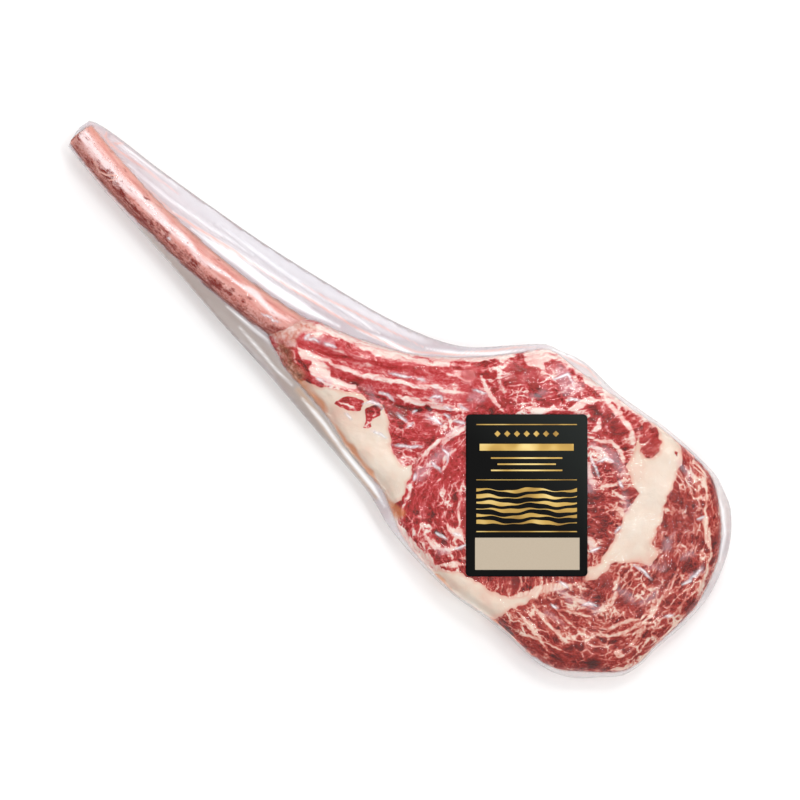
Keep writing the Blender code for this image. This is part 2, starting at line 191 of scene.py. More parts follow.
# In metres: the height of its middle line and its mean radius
BONE_MIDDLE, BONE_RADIUS = 0.020, 0.012
bone = skin_over("bone", ["rib_bone"], 0.0009)
relax(bone, 0.5, 6)
spots = corners(bone)
mm = spots * 1000
bend = np.polyfit(spots[:, 0], spots[:, 1], 5)
across = spots[:, 1] - np.polyval(bend, spots[:, 0])
turn = np.arctan2(spots[:, 2] - BONE_MIDDLE, across)
grain = np.column_stack((spots[:, 0], np.cos(turn) * BONE_RADIUS, np.sin(turn) * BONE_RADIUS))
normals = facing(bone)
ridges = lumps(grain * (0.08, 1, 1), 0.0022, 3) - 0.5
swells = lumps(grain * (0.5, 1, 1), 0.009, 4) - 0.5
# Two loose shreds of skin near the tip
flap = stroke(mm, [(-222, -13), (-216, -15.5), (-211, -14.5), (-206, -11)], 0.5, 0.8)
flap = flap + stroke(mm, [(-205, -11), (-205.5, -14), (-208, -16)], 0.4, 0.8)
flap = flap * (spots[:, 2] > BONE_MIDDLE)
saw_cut = ease(-0.2385, -0.2405, spots[:, 0] + 0.15 * across) * ease(0.5, 0.8, -normals[:, 0])
spots = spots + normals * (0.00028 * ridges + 0.0009 * swells + 0.0005 * flap)[:, None]
put(bone, spots)
bpy.context.view_layer.objects.active = bone
bone.select_set(True)
bpy.ops.object.shade_smooth()
mark(bone, "grain", grain)
mark(bone, "flap", flap)
mark(bone, "saw_cut", saw_cut)
# Blood gathers along the flank that lies to the lean side, most of it in a few bruises; that flank also
# gets painted shade
flank = ease(0.1, -0.75, np.cos(turn))
mark(bone, "flank", flank)
# The pale crest, pale skin with a painted highlight, runs nearer the rib side and grows narrower toward
# the meat
near_meat = ease(-175, -115, mm[:, 0])
from_crest = np.cos(turn) - 0.15 - 0.11 * near_meat + 0.6 * swells
crest_highlight = np.exp(-(from_crest / (0.25 - 0.11 * near_meat)) ** 2)
mark(bone, "crest_highlight", crest_highlight * ease(-40, -90, mm[:, 0]))
# The upper edge, on the side that faces the broad panel light, gets a painted highlight
mark(bone, "edge", ease(0.45, 0.8, np.cos(turn)))
BRUISES = [
    ([(-222, -12), (-215, -14), (-208, -13)], 2.2), ([(-207, -15), (-196, -18), (-183, -20)], 1.4),
    ([(-184, -20), (-173, -20), (-159, -20)], 2.0), ([(-136, -24), (-122, -25), (-106, -23)], 2.0),
    ([(-150, -22), (-140, -23)], 1.2), ([(-73, -23), (-62, -25)], 1.8), ([(-240, -7), (-240, -4)], 1.0),
]
bruise = np.zeros(len(spots))
for line, width in BRUISES:
    bruise = np.maximum(bruise, stroke(mm, line, width, 6))
mark(bone, "bruise", bruise)

# Raw bone under its skin: salmon, waxy and moist, paler where the skin is thick, with painted
# highlights on the crest and the upper edge and painted shade with the blood on the lower flank
raw_bone, tree, shader = finish_named("raw rib bone under its skin")
lay = add(tree, "ShaderNodeAttribute", attribute_name="grain").outputs["Vector"]
here = add(tree, "ShaderNodeTexCoord").outputs["Object"]
crest_highlight, edge, flank, bruise, flap, saw_cut = [
    add(tree, "ShaderNodeAttribute", attribute_name=name).outputs["Fac"]
    for name in ("crest_highlight", "edge", "flank", "bruise", "flap", "saw_cut")
]
# Streaks along the bone, rounder blots of blood, fine red dots and the pores of the sawn end, with
# their length, width and depth in millimetres
streaks, blots, dots, pores = [
    add(tree, "ShaderNodeTexNoise", {
        "Vector": add(tree, "ShaderNodeMapping", {
            "Vector": place, "Scale": [1000 / size for size in sizes],
        }).outputs[0],
        "Scale": 1.0, "Detail": detail, "Roughness": roughness,
    }).outputs["Fac"]
    for place, sizes, detail, roughness in (
        (lay, (16.667, 2.381, 2.381), 4, 0.6),
        (lay, (7.692, 3.03, 3.03), 5, 0.68),
        (here, (1.25, 1.25, 1.25), 3, 0.6),
        (here, (1.1111, 1.1111, 1.1111), 3, 0.5),
    )
]
skin_tone = add(tree, "ShaderNodeValToRGB", {"Fac": streaks})
ramped(skin_tone, [
    (0.25, hexed("D58A80")), (0.42, hexed("E29F95")), (0.58, hexed("EBB6AD")), (0.78, hexed("F5D2CB")),
])
marrow_tone = add(tree, "ShaderNodeValToRGB", {"Fac": pores})
ramped(marrow_tone, [(0.35, hexed("5E1712")), (0.5, hexed("A8503F")), (0.65, hexed("E6C3AE"))])
crest_highlight = add(tree, "ShaderNodeMath", {0: crest_highlight, 1: streaks}, operation="MULTIPLY").outputs[0]
edge = add(tree, "ShaderNodeMath", {0: edge, 1: 0.75}, operation="MULTIPLY").outputs[0]
# The lower flank is painted darker red: partly blood, partly painted shade
blood_and_shade = add(tree, "ShaderNodeMath", {0: flank, 1: 0.30}, operation="MULTIPLY").outputs[0]
dots = add(tree, "ShaderNodeMath", {0: flank, 1: 0.20, 2: dots}, operation="MULTIPLY_ADD").outputs[0]
blots = add(tree, "ShaderNodeMath", {0: flank, 1: 0.09, 2: blots}, operation="MULTIPLY_ADD").outputs[0]
blots = add(tree, "ShaderNodeMath", {0: bruise, 1: 0.17, 2: blots}, operation="MULTIPLY_ADD").outputs[0]
crest_highlight, dots, blots = [
    add(tree, "ShaderNodeMapRange", {
        "Value": value, "From Min": low, "From Max": high, "To Max": most,
    }).outputs[0]
    for value, low, high, most in (
        (crest_highlight, 0.12, 0.45, 1.0), (dots, 0.58, 0.76, 0.75), (blots, 0.58, 0.72, 1.0),
    )
]
tone = skin_tone.outputs[0]
# Over the skin: painted highlights on the crest and the upper edge, painted shade with the blood flush
# on the lower flank, then blood dots, bruises, skin shreds and the sawn end
for share, over in (
    (crest_highlight, hexed("FBE8E8")), (edge, hexed("FBBEAB")), (blood_and_shade, hexed("C46A5C")),
    (dots, hexed("B9503C")), (blots, hexed("96291C")), (flap, hexed("E9B5A8")),
    (saw_cut, marrow_tone.outputs[0]),
):
    tone = add(tree, "ShaderNodeMix", {0: share, 6: tone, 7: over}, data_type="RGBA").outputs[2]
tree.links.new(tone, shader.inputs["Base Color"])
shader.inputs["Roughness"].default_value = 0.5
shader.inputs["Specular IOR Level"].default_value = 0.25
shader.inputs["Subsurface Weight"].default_value = 0.12
shader.inputs["Subsurface Radius"].default_value = (1.0, 0.4, 0.3)
shader.inputs["Subsurface Scale"].default_value = 0.0015
bump = add(tree, "ShaderNodeBump", {"Height": streaks, "Strength": 0.25, "Distance": 0.0006})
tree.links.new(bump.outputs[0], shader.inputs["Normal"])
bone.data.materials.append(raw_bone)
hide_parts("rib_bone")
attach(bone, "root")


# The meat
# One thick slice of marbled rib beef: the eye, the cap round it and the rib meat along the bone,
# parted by firm cream fat. It is one skin over the six solids, finer on the cut face, with its
# veins, bands and furrows drawn in plan and stored for the material.

# In metres: half the steak's thickness, and a height that clears it
STEAK_MIDDLE, ABOVE_ALL = 0.021, 0.1
MEAT_NODES = ["eye_muscle", "cap_muscle", "rib_muscle", "kernel_fat", "lip_fat", "edge_fat"]
steak = skin_over("steak", MEAT_NODES, 0.0016)
relax(steak, 0.5, 3)
bpy.ops.object.mode_set(mode="EDIT")
bpy.ops.mesh.select_all(action="DESELECT")
bpy.ops.object.mode_set(mode="OBJECT")
face_rise = np.empty(len(steak.data.polygons) * 3)
face_place = np.empty(len(steak.data.polygons) * 3)
steak.data.polygons.foreach_get("normal", face_rise)
steak.data.polygons.foreach_get("center", face_place)
upper = (face_rise[2::3] > 0.3) & (face_place[2::3] > 0.026)
steak.data.polygons.foreach_set("select", upper)
bpy.context.tool_settings.mesh_select_mode = (False, False, True)
bpy.ops.object.mode_set(mode="EDIT")
bpy.ops.mesh.subdivide(number_cuts=1, smoothness=0)
bpy.ops.object.mode_set(mode="OBJECT")
relax(steak, 0.5, 2)
spots, normals = corners(steak), facing(steak)
mm = spots * 1000


def wandered(spots, amount, size, seed):
    """Points in millimetres nudged by noise, so that what is drawn on them gets a natural edge."""
    shift = np.column_stack([lumps(spots, size, seed + k) - 0.5 for k in range(3)])
    return spots + 2 * amount * shift


def search_tree(piece):
    """A tree of a piece's faces, for finding what lies near or under a point."""
    mesh = piece.data
    return BVHTree.FromPolygons([v.co for v in mesh.vertices], [p.vertices for p in mesh.polygons])


def wall_depth(node, spots):
    """How far inside a solid each point lies in plan, in millimetres, negative outside."""
    tree = search_tree(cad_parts[node])
    depth = np.empty(len(spots))
    for i, (x, y) in enumerate(spots[:, :2] / 1000):
        reach = tree.find_nearest(Vector((x, y, STEAK_MIDDLE)))[3]
        covered = tree.ray_cast(Vector((x, y, ABOVE_ALL)), Vector((0, 0, -1)))[0]
        depth[i] = reach if covered else -reach
    return depth * 1000


def lie(spots, guide):
    """Where each point lies along and across a guide line drawn in plan."""
    guide = np.array(guide, float)
    best = np.full(len(spots), 1e9)
    along, across = np.zeros(len(spots)), np.zeros(len(spots))
    gone = 0.0
    for start, step in zip(guide[:-1], np.diff(guide, axis=0)):
        length = np.linalg.norm(step)
        unit = step / length
        offset = spots[:, :2] - start
        share = np.clip(offset @ unit, 0, length)
        away = np.linalg.norm(offset - share[:, None] * unit, axis=1)
        side = np.sign(offset[:, 0] * unit[1] - offset[:, 1] * unit[0])
        better = away < best
        best[better] = away[better]
        along[better] = gone + share[better]
        across[better] = (away * side)[better]
        gone += length
    return along, across


def patch(spots, outline, blur):
    """1 inside an outline drawn in plan, in millimetres, fading to 0 across its edge."""
    outline = np.array(outline + outline[:1], float)
    inside = np.zeros(len(spots), bool)
    best = np.full(len(spots), 1e9)
    for start, end in zip(outline[:-1], outline[1:]):
        step = end - start
        offset = spots[:, :2] - start
        share = np.clip((offset @ step) / (step @ step), 0, 1)
        best = np.minimum(best, np.linalg.norm(offset - share[:, None] * step, axis=1))
        passed = (spots[:, 1] < start[1]) != (spots[:, 1] < end[1])
        inside ^= passed & (offset[:, 0] < offset[:, 1] * step[0] / (step[1] or 1))
    return ease(-blur / 2, blur / 2, np.where(inside, best, -best))


soft_edge = wandered(wandered(mm, 1.3, 7, 1), 0.5, 2.2, 4)
muscle = np.argmax([wall_depth(node, soft_edge) for node in MEAT_NODES[:3]], axis=0)

# The cream fat: the kernel between eye and cap, the lip below the rib meat and the lower edge
KERNEL_FAT = [
    (137, 71), (144, 67), (149, 62), (151, 56), (152, 50), (155, 45), (163, 41), (169, 39), (170, 30),
    (170, 24), (175, 15), (175, 7), (176, -3), (176, -11), (174, -18), (178, -23), (182, -19),
    (183, -11), (183, -5), (185, -1), (190, 3), (196, 7), (201, 8), (202, 11), (200, 18), (195, 21),
    (192, 27), (190, 34), (187, 40), (185, 47), (181, 58), (178, 66), (176, 73), (170, 79), (160, 80),
    (147, 79), (155, 76), (160, 73), (162, 68), (162, 62), (159, 60), (154, 61), (149, 65), (142, 71),
]
LIP_FAT = [
    (-38, -42), (-36, -37), (-31, -36), (-24, -33), (-20, -31), (-14, -28), (-8, -23), (-2, -21),
    (2, -21), (7, -19), (12, -19), (17, -21.5), (21, -24), (24, -27), (30, -33), (37, -37), (44, -39),
    (49, -36), (53, -42), (55, -50), (57, -55), (55, -64), (44, -68), (30, -62), (14, -58), (-2, -52),
    (-17, -47), (-28, -44),
]
EDGE_FAT = [
    (97, -80), (101, -76), (111, -70), (122, -66), (133, -65), (142, -63), (152, -57), (156, -51),
    (158, -57), (153, -65), (150, -73), (149, -76), (146, -82), (127, -86), (108, -86),
]
# Isles of lean in the lip fat
LEAN_ISLES = [
    [(-12, -36), (-11, -30), (-8, -26), (-4, -24), (0, -23), (2, -28), (-1, -32), (-6, -33)],
    [(4, -26), (5, -22), (8, -19.5), (13, -20), (14, -24), (13, -28), (15, -33), (12, -35), (10, -31),
     (6, -28)],
]
# Pale layers: four of the rib meat, which narrow from the bone to the eye, and the fat along the
# lower edge and at the upper corner
PALE_LAYERS = [
    [(-53, -6), (-49, 1), (-39, 4), (-27, 8), (-8, 15), (12, 26), (24, 36), (29, 27), (17, 16.6),
     (7, 12.4), (-2, 8.9), (-12, 4.3), (-19, 0.8), (-25, -1.3), (-30, -2.6), (-37, -4.6), (-43, -6.2),
     (-49, -8.7)],
    [(-54, -22.7), (-47, -21), (-42, -19.8), (-36, -18.1), (-30, -16.5), (-24, -14.2), (-18, -12),
     (-11, -10), (-6, -5.3), (0, -3.5), (8, 1), (17, 5.5), (23, 9.2), (36, 15.5), (48, 21), (36, 12),
     (26, 6.3), (19, 3.1), (10, -1.2), (3.5, -5.2), (-3, -9.9), (-10, -12.3), (-16, -14.7),
     (-21, -16.5), (-26, -17.9), (-29, -19.6), (-32, -19.5), (-37, -21.2), (-41, -25.3), (-45, -26.2),
     (-50, -25.3)],
    [(-50, -23), (-45, -27.6), (-40, -25.8), (-38, -29.7), (-30, -31.8), (-22, -30), (-13.5, -26.4),
     (-7, -22.6), (-2, -20.9), (-9, -19.6), (-17, -22), (-24, -24.4), (-27, -21.3), (-34, -20.6),
     (-44, -21.8)],
    [(13.5, -6.7), (20, -3.2), (26, -1), (34, 3), (44, 9), (56, 13), (50, 8), (40, 2.4), (32, -1.1),
     (26, -5.8), (21, -7.5), (15, -7.8)],
    [(54, -67), (61, -63.5), (66, -67), (73, -68), (78, -69), (85, -68.5), (90, -71), (97, -73.5),
     (104, -72), (112, -68.5), (118, -67.8), (121, -71), (105, -86), (92, -87), (77, -81), (65, -76),
     (56, -72)],
    [(60, 58), (61, 68), (66, 77), (78, 79), (100, 80), (120, 80), (130, 80), (130, 74), (121, 72.8),
     (112, 71.3), (101, 72.4), (88, 73.2), (80, 72.2), (74.5, 70), (72.5, 65), (71, 60.5), (66.5, 57)],
]
# Red lean that lies on top of the layers beside the bone, and the membrane over the neck
RIB_LOBE = [
    (-51, -16), (-51.4, -12.7), (-49.4, -10), (-45, -9), (-41, -8), (-39, -5.7), (-36, -6),
    (-33.5, -2.5), (-29, -2), (-28, -5), (-32.6, -9), (-38.5, -11.6), (-44.4, -14.4), (-49, -16.6),
]
MEMBRANE = [
    (-74, -26), (-70, -21), (-64, -15), (-62, -8), (-54, -5), (-50, -7.7), (-54.5, -13.7),
    (-56, -19.7), (-53, -24.5), (-57, -28), (-64, -29.5), (-70, -28),
]

# How the fibres run: the cap's round the far end, the rib meat's along the bone, the eye's in an arc
CAP_GUIDE = [
    (150, 84), (178, 80), (196, 76), (210, 66), (223, 53), (232, 38), (238, 22), (240, 6), (239, -12),
    (237, -30), (234, -46), (224, -58), (210, -68), (196, -76), (175, -79), (140, -82), (100, -84),
]
RIB_GUIDE = [(-75, -12), (-55, -4), (-20, 7), (20, 27), (45, 47), (70, 78)]
EYE_GUIDE = [
    (112, 84), (88, 62), (68, 40), (57, 14), (53, -10), (56, -34), (63, -54), (78, -70), (100, -82),
]
lays = [np.column_stack(lie(mm, guide)) for guide in (EYE_GUIDE, CAP_GUIDE, RIB_GUIDE)]
lay = np.choose(muscle[:, None], lays)
grain = np.column_stack((lay, mm[:, 2] * 0.5 + muscle * 40)) / 1000
mark(steak, "grain", grain)

# Pale bands of fat and sinew between and through the muscles: line, half width
PALE_BANDS = [
    ([(182, 77), (192, 74), (199, 68), (205, 61), (210, 54)], 1.0),
    ([(208, 56), (213, 50), (219, 44), (226, 38)], 2.3),
    ([(226, 38), (231, 30), (235, 20), (237, 8)], 1.3),
    ([(237, 8), (238, -6), (236, -22), (233, -34)], 0.9),
    ([(206, 71), (214, 64), (222, 56), (229, 47), (234, 37)], 0.8),
    ([(221, 8), (221, -6), (222, -16), (220, -26)], 1.1), ([(221, -13), (223, -16)], 2.4),
    ([(222, -42), (221, -48)], 3.2), ([(231, -44), (229, -51), (222, -57)], 1.8),
    ([(226, -20), (222, -30), (214, -38), (203, -44), (190, -47)], 0.8),
    ([(200, -36), (190, -40), (178, -46), (170, -51)], 0.9),
    ([(196, -30), (186, -34), (176, -37), (166, -42)], 1.2),
    ([(175, -27), (168, -35), (161, -43), (155, -52), (149, -60), (141, -66)], 3.0),
    ([(166, -44), (175, -49), (190, -50), (203, -52)], 0.8),
    ([(160, -54), (172, -58), (188, -60), (200, -60)], 0.9),
    ([(154, -64), (168, -66), (182, -70), (194, -71)], 1.0),
    ([(166, -73), (176, -70), (186, -67), (200, -64)], 0.8),
    ([(120, 46), (128, 49), (136, 53), (143, 53), (150, 48), (154, 44)], 1.5),
    ([(126, 43), (134, 45), (141, 43), (147, 45)], 1.7),
    ([(128, 36), (134, 32), (141, 27), (146, 23)], 2.2),
    ([(145, 24), (149, 29), (153, 34), (156, 39), (160, 41)], 1.5),
    ([(151, 31), (158, 31), (166, 30), (171, 26)], 1.1), ([(163, 24), (167, 25), (171, 24)], 1.6),
    ([(160, -2), (165, -2), (169, -5)], 1.8),
    ([(108, 74), (120, 71), (131, 69), (140, 66), (147, 61), (155, 57)], 1.7),
    ([(118, 62), (124, 55), (122, 49)], 1.6), ([(128, 68), (126, 60), (132, 57)], 0.9),
    ([(79, 33), (86, 38), (94, 46), (102, 52)], 2.1),
    ([(101, 51), (105, 57), (108, 63), (113, 69)], 3.0),
    ([(60, 62), (68, 71), (80, 74), (96, 73)], 2.6),
    ([(96, 74), (112, 74), (130, 76), (150, 79), (165, 80), (178, 80)], 2.0),
    ([(61, 60), (70, 64), (76, 60)], 2.6), ([(88, 68), (93, 61), (91, 55), (82, 45)], 0.7),
    ([(101, 68), (96, 58), (88, 48)], 0.7), ([(25, 22), (33, 24), (44, 27), (54, 26)], 0.7),
    ([(46, 36), (55, 30), (66, 27), (74, 27)], 1.6), ([(52, 44), (60, 38), (70, 33)], 0.9),
    ([(60, 5), (56, -4), (52, -14), (51, -24), (53, -36)], 1.6),
    ([(64, -6), (63, -20), (68, -30), (66, -42)], 1.0), ([(56, -40), (59, -52), (62, -62)], 1.2),
    ([(78, -20), (84, -32), (92, -42), (100, -50)], 1.2), ([(92, -51), (98, -48), (104, -52)], 2.2),
    ([(82, -64), (92, -66), (100, -61), (104, -54)], 1.3),
    ([(57, -66), (68, -72), (82, -76), (100, -79)], 1.9),
    ([(100, -80), (101, -72), (107, -66), (114, -62)], 2.0),
    ([(14, 21), (22, 28), (38, 41), (52, 55), (62, 68)], 3.0),
    ([(-53, -27), (-48.5, -29.4), (-41.5, -31)], 0.5), ([(-61, -26), (-56, -27.5), (-50, -28.4)], 0.5),
    ([(-36, -25), (-33, -23), (-30, -25)], 0.5), ([(6, -25), (9, -22.5), (12, -25), (11, -28)], 0.5),
    ([(177, -21), (180, -10), (180, -3)], 1.6),
    ([(218.5, -22), (220, -14), (221.5, -5), (221, 4), (218.6, 12.4), (216, 19), (210, 28)], 1.2),
    ([(198.5, -32), (200, -26.6), (197, -18), (192, -13), (191, -7)], 1.3),
    ([(192, -35), (198, -31), (198.5, -25)], 1.0),
    ([(199, -42), (207, -38), (210, -31.6), (214, -24), (218, -20.6), (217.5, -13)], 1.4),
    ([(203, -46), (210, -40), (216, -34), (218.5, -26), (221, -21), (227, -16.4), (229, -13)], 1.5),
    ([(221.3, -21.7), (224.5, -28.4), (223.7, -36), (221.6, -41.4)], 1.2),
    ([(232.7, -10), (233, -2), (232.3, 8), (233.5, 16)], 0.9),
    ([(234.5, -23), (235.6, -31.5), (235.7, -38.6), (232.8, -47)], 1.2),
    ([(81.5, -64), (86.5, -65.8), (93.3, -63), (100, -59.3)], 0.5),
    ([(50.6, -18.4), (54, -12.4), (56.4, -5.5), (61, 3)], 1.3),
    ([(82, -51), (91, -50.5), (98.4, -51.3), (99.6, -56.8)], 1.3), ([(7, -28), (10, -27)], 0.5),
    ([(-10, -33), (-5, -30), (0, -31)], 0.8), ([(-9, -28), (-5, -26)], 0.4),
]
# Patches and bands of lean that lie within the pale parts
LEAN_BANDS = [
    ([(204, 70), (212, 61), (219, 54), (226, 49), (231, 42), (235, 32), (237, 24)], 1.5),
    ([(136, 74), (144, 70), (150, 66)], 3.0), ([(147, 73), (154, 70), (158, 64)], 4.6),
    ([(172, 72), (170, 73)], 1.4), ([(165, 80), (172, 79.5), (178, 79)], 0.7),
    ([(142, 74), (148, 70), (155, 66), (159, 64)], 4.2), ([(66, -66), (78, -70), (90, -72)], 1.2),
    ([(98, -72), (104, -66)], 1.6),
]
# Deep red and brown hollows: line, half width, strength
DEEP_BANDS = [
    ([(-55, -19.7), (-50, -19.5), (-45, -18), (-39, -16), (-26, -10), (-16, -4), (-4, 2), (11, 12),
      (17, 15)], 1.3, 0.3),
    ([(-39, -16), (-33, -14), (-26, -10.6), (-21, -8), (-16, -4.5)], 1.2, 0.95),
    ([(-9, -1), (-1, 2.4), (8, 9), (17, 14)], 1.1, 0.8),
    ([(-27, -22), (-21, -21.4), (-15, -20.2), (-9, -19), (-4, -18.6), (0, -18)], 1.0, 0.95),
    ([(0, -18), (5, -15.5), (12, -14.2), (19, -12.6), (25, -10), (30, -6), (33, -2), (42, 3)], 1.2,
      1.0),
    ([(-40, -26), (-36, -24.5), (-33, -25)], 1.0, 0.5),
    ([(-26, -19.5), (-16, -16.5), (-4, -12), (8, -4.5), (20, 1)], 1.0, 0.35),
    ([(-51, -26), (-47, -28), (-41, -29.5), (-36, -31)], 0.8, 0.8),
    ([(-56.5, -31), (-55, -29.5)], 1.6, 0.9), ([(-55, -26.5), (-54, -26)], 0.6, 0.7),
    ([(53, 40), (59, 36), (64, 31)], 0.35, 0.7),
    ([(45, 37), (53, 34.5), (62, 31.5), (73, 26)], 0.45, 0.8), ([(30, 28), (36, 30)], 0.8, 0.9),
    ([(62, 20), (70, 22), (78, 28)], 1.6, 0.4),
    ([(84, -61), (88, -58.5), (94, -58), (99, -57)], 2.9, 1.0),
    ([(69, -63), (75.5, -59), (78.6, -51), (80, -44), (87, -41.6)], 1.4, 0.8),
    ([(100, -67), (105, -66), (112, -61)], 1.8, 0.6), ([(56, -9), (59, -4.5), (64, 1)], 0.7, 0.8),
    ([(206, -46.5), (211, -44), (217.7, -38)], 1.0, 0.8),
    ([(224.6, -21.6), (227.1, -26.3), (228.7, -33.5)], 1.3, 0.8),
    ([(185, -27), (192, -29), (196.5, -29.7)], 1.6, 0.8), ([(66, -50), (70, -58), (72, -64)], 2.4, 0.6),
    ([(76, -42), (80, -52), (76, -60)], 1.8, 0.5), ([(88, 56), (97, 54)], 2.2, 0.7),
    ([(64, 53), (69, 54)], 1.6, 0.7), ([(76, 43), (86, 48)], 1.2, 0.7),
    ([(112, 62), (120, 62)], 3.0, 0.45), ([(134, 55), (146, 56), (153, 48)], 2.0, 0.6),
    ([(154, 36), (163, 35)], 2.2, 0.7), ([(152, 6), (162, 2), (170, 4)], 2.6, 0.6),
    ([(150, -48), (160, -48)], 1.2, 0.6), ([(180, -25), (186, -27), (195, -26)], 3.0, 0.55),
    ([(186, 40), (195, 32), (205, 44)], 2.0, 0.25),
    ([(207.6, -62), (215.7, -59.7), (221.8, -54.8)], 3.0, 0.6), ([(232, -38), (231, -44)], 2.6, 0.6),
    ([(150, -77), (158, -78), (168, -78.5)], 2.2, 0.85), ([(190, -72), (195, -71)], 2.4, 0.4),
    ([(232, -26), (228, -18)], 1.4, 0.4),
]
pale = np.zeros(len(mm))
for line, width in PALE_BANDS:
    pale = np.maximum(pale, stroke(soft_edge, line, width, 3.0, 0.2))
frayed_edge = wandered(soft_edge, 0.9, 3.2, 15)
lobe = patch(frayed_edge, RIB_LOBE, 1.4)
layers = np.max([patch(frayed_edge, outline, 1.8) for outline in PALE_LAYERS], axis=0)
pale = np.maximum(pale, 0.95 * layers * (1 - lobe))
lean = np.zeros(len(mm))
for line, width in LEAN_BANDS:
    lean = np.maximum(lean, stroke(soft_edge, line, width, 1.8, 0.4))
deep = np.zeros(len(mm))
for line, width, strength in DEEP_BANDS:
    deep = np.maximum(deep, strength * stroke(soft_edge, line, width, 2.2, 0.3))
# The outer half of the eye is darker all over
deep = np.maximum(deep, 0.3 * stroke(soft_edge, [(143, 58), (152, 34), (157, 4), (156, -34)], 7, 9))
FATS = (KERNEL_FAT, LIP_FAT, EDGE_FAT)
cream = np.max([patch(frayed_edge, outline, 1.6) for outline in FATS], axis=0)
core = np.max([patch(frayed_edge, outline, 7) for outline in FATS], axis=0)
isles = np.max([patch(frayed_edge, outline, 1.4) for outline in LEAN_ISLES], axis=0)
cream = cream * (1 - lean) * (1 - isles)
pale = pale * (1 - lean)
# The outer sides carry a thin pale skin
side = ease(0.45, 0.15, np.abs(normals[:, 2]))
pale = np.maximum(pale, side * ease(0.38, 0.62, lumps(mm, 11, 9)))
stain = stroke(soft_edge, [(-59, -29), (-54, -32), (-46, -35), (-40, -36)], 4.0, 9)
# Orange-brown juice along the lower edge: line, half width, blur, narrowing
RUST_LINES = [
    ([(-46, -39), (-36, -39), (-26, -40), (-14, -43)], 2.0, 5, 1.0),
    ([(-12, -44), (-2, -46), (8, -49), (22, -53), (48, -60)], 1.5, 4, 0.3),
    ([(104, -79), (116, -81), (128, -83), (150, -79)], 1.6, 4, 1.0),
    ([(46, -62), (56, -64), (62, -63)], 3.2, 5, 1.0),
]
rust = np.max([stroke(soft_edge, *drawn) for drawn in RUST_LINES], axis=0)
sinew = patch(soft_edge, MEMBRANE, 3.0)
# Along the rib side the lean runs in plain bands, and the far half is browner and finely marbled
plain = stroke(soft_edge, [(-60, -18), (-20, -6), (8, 6), (40, 22)], 14, 10)
far_half = ease(70, 185, mm[:, 0] - 0.35 * mm[:, 1])
for name, values in (
    ("plain", plain), ("far_half", far_half), ("pale", pale), ("deep", deep), ("cream", cream),
    ("core", core), ("stain", stain), ("rust", rust), ("sinew", np.maximum(sinew - stain, 0)),
):
    mark(steak, name, values)
# Fat stands a little proud of the lean, and the deep bands are furrows, but not under the label
bare = ease(3.5, 0.5, wall_depth("label", mm))
bare = np.where(mm[:, 2] > 30, bare, 1)
rise = 0.35 * np.maximum(pale, cream) - 0.6 * deep
rise = rise + 0.5 * (lumps(mm, 4.5, 12) - 0.5) + 0.3 * (lumps(mm, 1.9, 13) - 0.5)
rise = rise * (0.25 + 0.75 * ease(0.2, 0.7, np.abs(normals[:, 2]))) * bare - 0.45 * (1 - bare)
spots = spots + normals * rise[:, None] / 1000
# The underside stays clear of the lower sheet of film
spots[:, 2] = np.maximum(spots[:, 2], 0.0003)
put(steak, spots)
bpy.context.view_layer.objects.active = steak
bpy.ops.object.select_all(action="DESELECT")
steak.select_set(True)
bpy.ops.object.shade_smooth()

# Marbled raw beef: moist lean from deep to bright red, with pink-white fat in nets and streaks
beef, tree, shader = finish_named("raw marbled beef")
lay = add(tree, "ShaderNodeAttribute", attribute_name="grain").outputs["Vector"]
here = add(tree, "ShaderNodeTexCoord").outputs["Object"]
plain, far_half, pale, deep, cream, core, stain, rust, sinew = [
    add(tree, "ShaderNodeAttribute", attribute_name=name).outputs["Fac"]
    for name in ("plain", "far_half", "pale", "deep", "cream", "core", "stain", "rust", "sinew")
]
# The lay of the fibres, bent a little at random in waves of 6.7 mm
drift = add(tree, "ShaderNodeTexNoise", {
    "Vector": here, "Scale": 1000 / 6.667, "Detail": 5, "Roughness": 0.62,
}).outputs["Color"]
for operation, settings in (
    ("SUBTRACT", {1: (0.5, 0.5, 0.5)}), ("SCALE", {"Scale": 0.0075}), ("ADD", {1: lay}),
):
    drift = add(tree, "ShaderNodeVectorMath", {0: drift, **settings}, operation=operation).outputs[0]
lay = drift


def net(size_along, size_across, width, gate_size, gate_low, gate_high):
    """A net of fat veins round cells of a given size in mm, broken up by a slower noise."""
    scale = (1000 / size_along, 1000 / size_across, 1000 / size_across)
    placed = add(tree, "ShaderNodeMapping", {"Vector": lay, "Scale": scale}).outputs[0]
    cells = add(tree, "ShaderNodeTexVoronoi", {"Vector": placed, "Scale": 1.0},
                feature="DISTANCE_TO_EDGE")
    gate = add(tree, "ShaderNodeTexNoise", {"Vector": here, "Scale": 1000 / gate_size, "Detail": 3})
    open_part = add(tree, "ShaderNodeMapRange", {
        "Value": gate.outputs["Fac"], "From Min": gate_low, "From Max": gate_high,
    }).outputs[0]
    reach = add(tree, "ShaderNodeMath", {0: open_part, 1: width}, operation="MULTIPLY").outputs[0]
    lines = add(tree, "ShaderNodeMapRange", {
        "Value": cells.outputs["Distance"], "From Min": reach, "From Max": 0.0,
    }).outputs[0]
    return add(tree, "ShaderNodeMath", {0: lines, 1: open_part}, operation="MULTIPLY").outputs[0]


# The nets fade out in the plain bands
netted = add(tree, "ShaderNodeMath", {0: plain, 1: -0.75, 2: 1.0}, operation="MULTIPLY_ADD").outputs[0]
broad_net, fine_net = [
    add(tree, "ShaderNodeMath", {0: veins, 1: netted}, operation="MULTIPLY").outputs[0]
    for veins in (net(9.5, 4.2, 0.22, 15, 0.32, 0.58), net(3.2, 1.8, 0.34, 9, 0.30, 0.60))
]
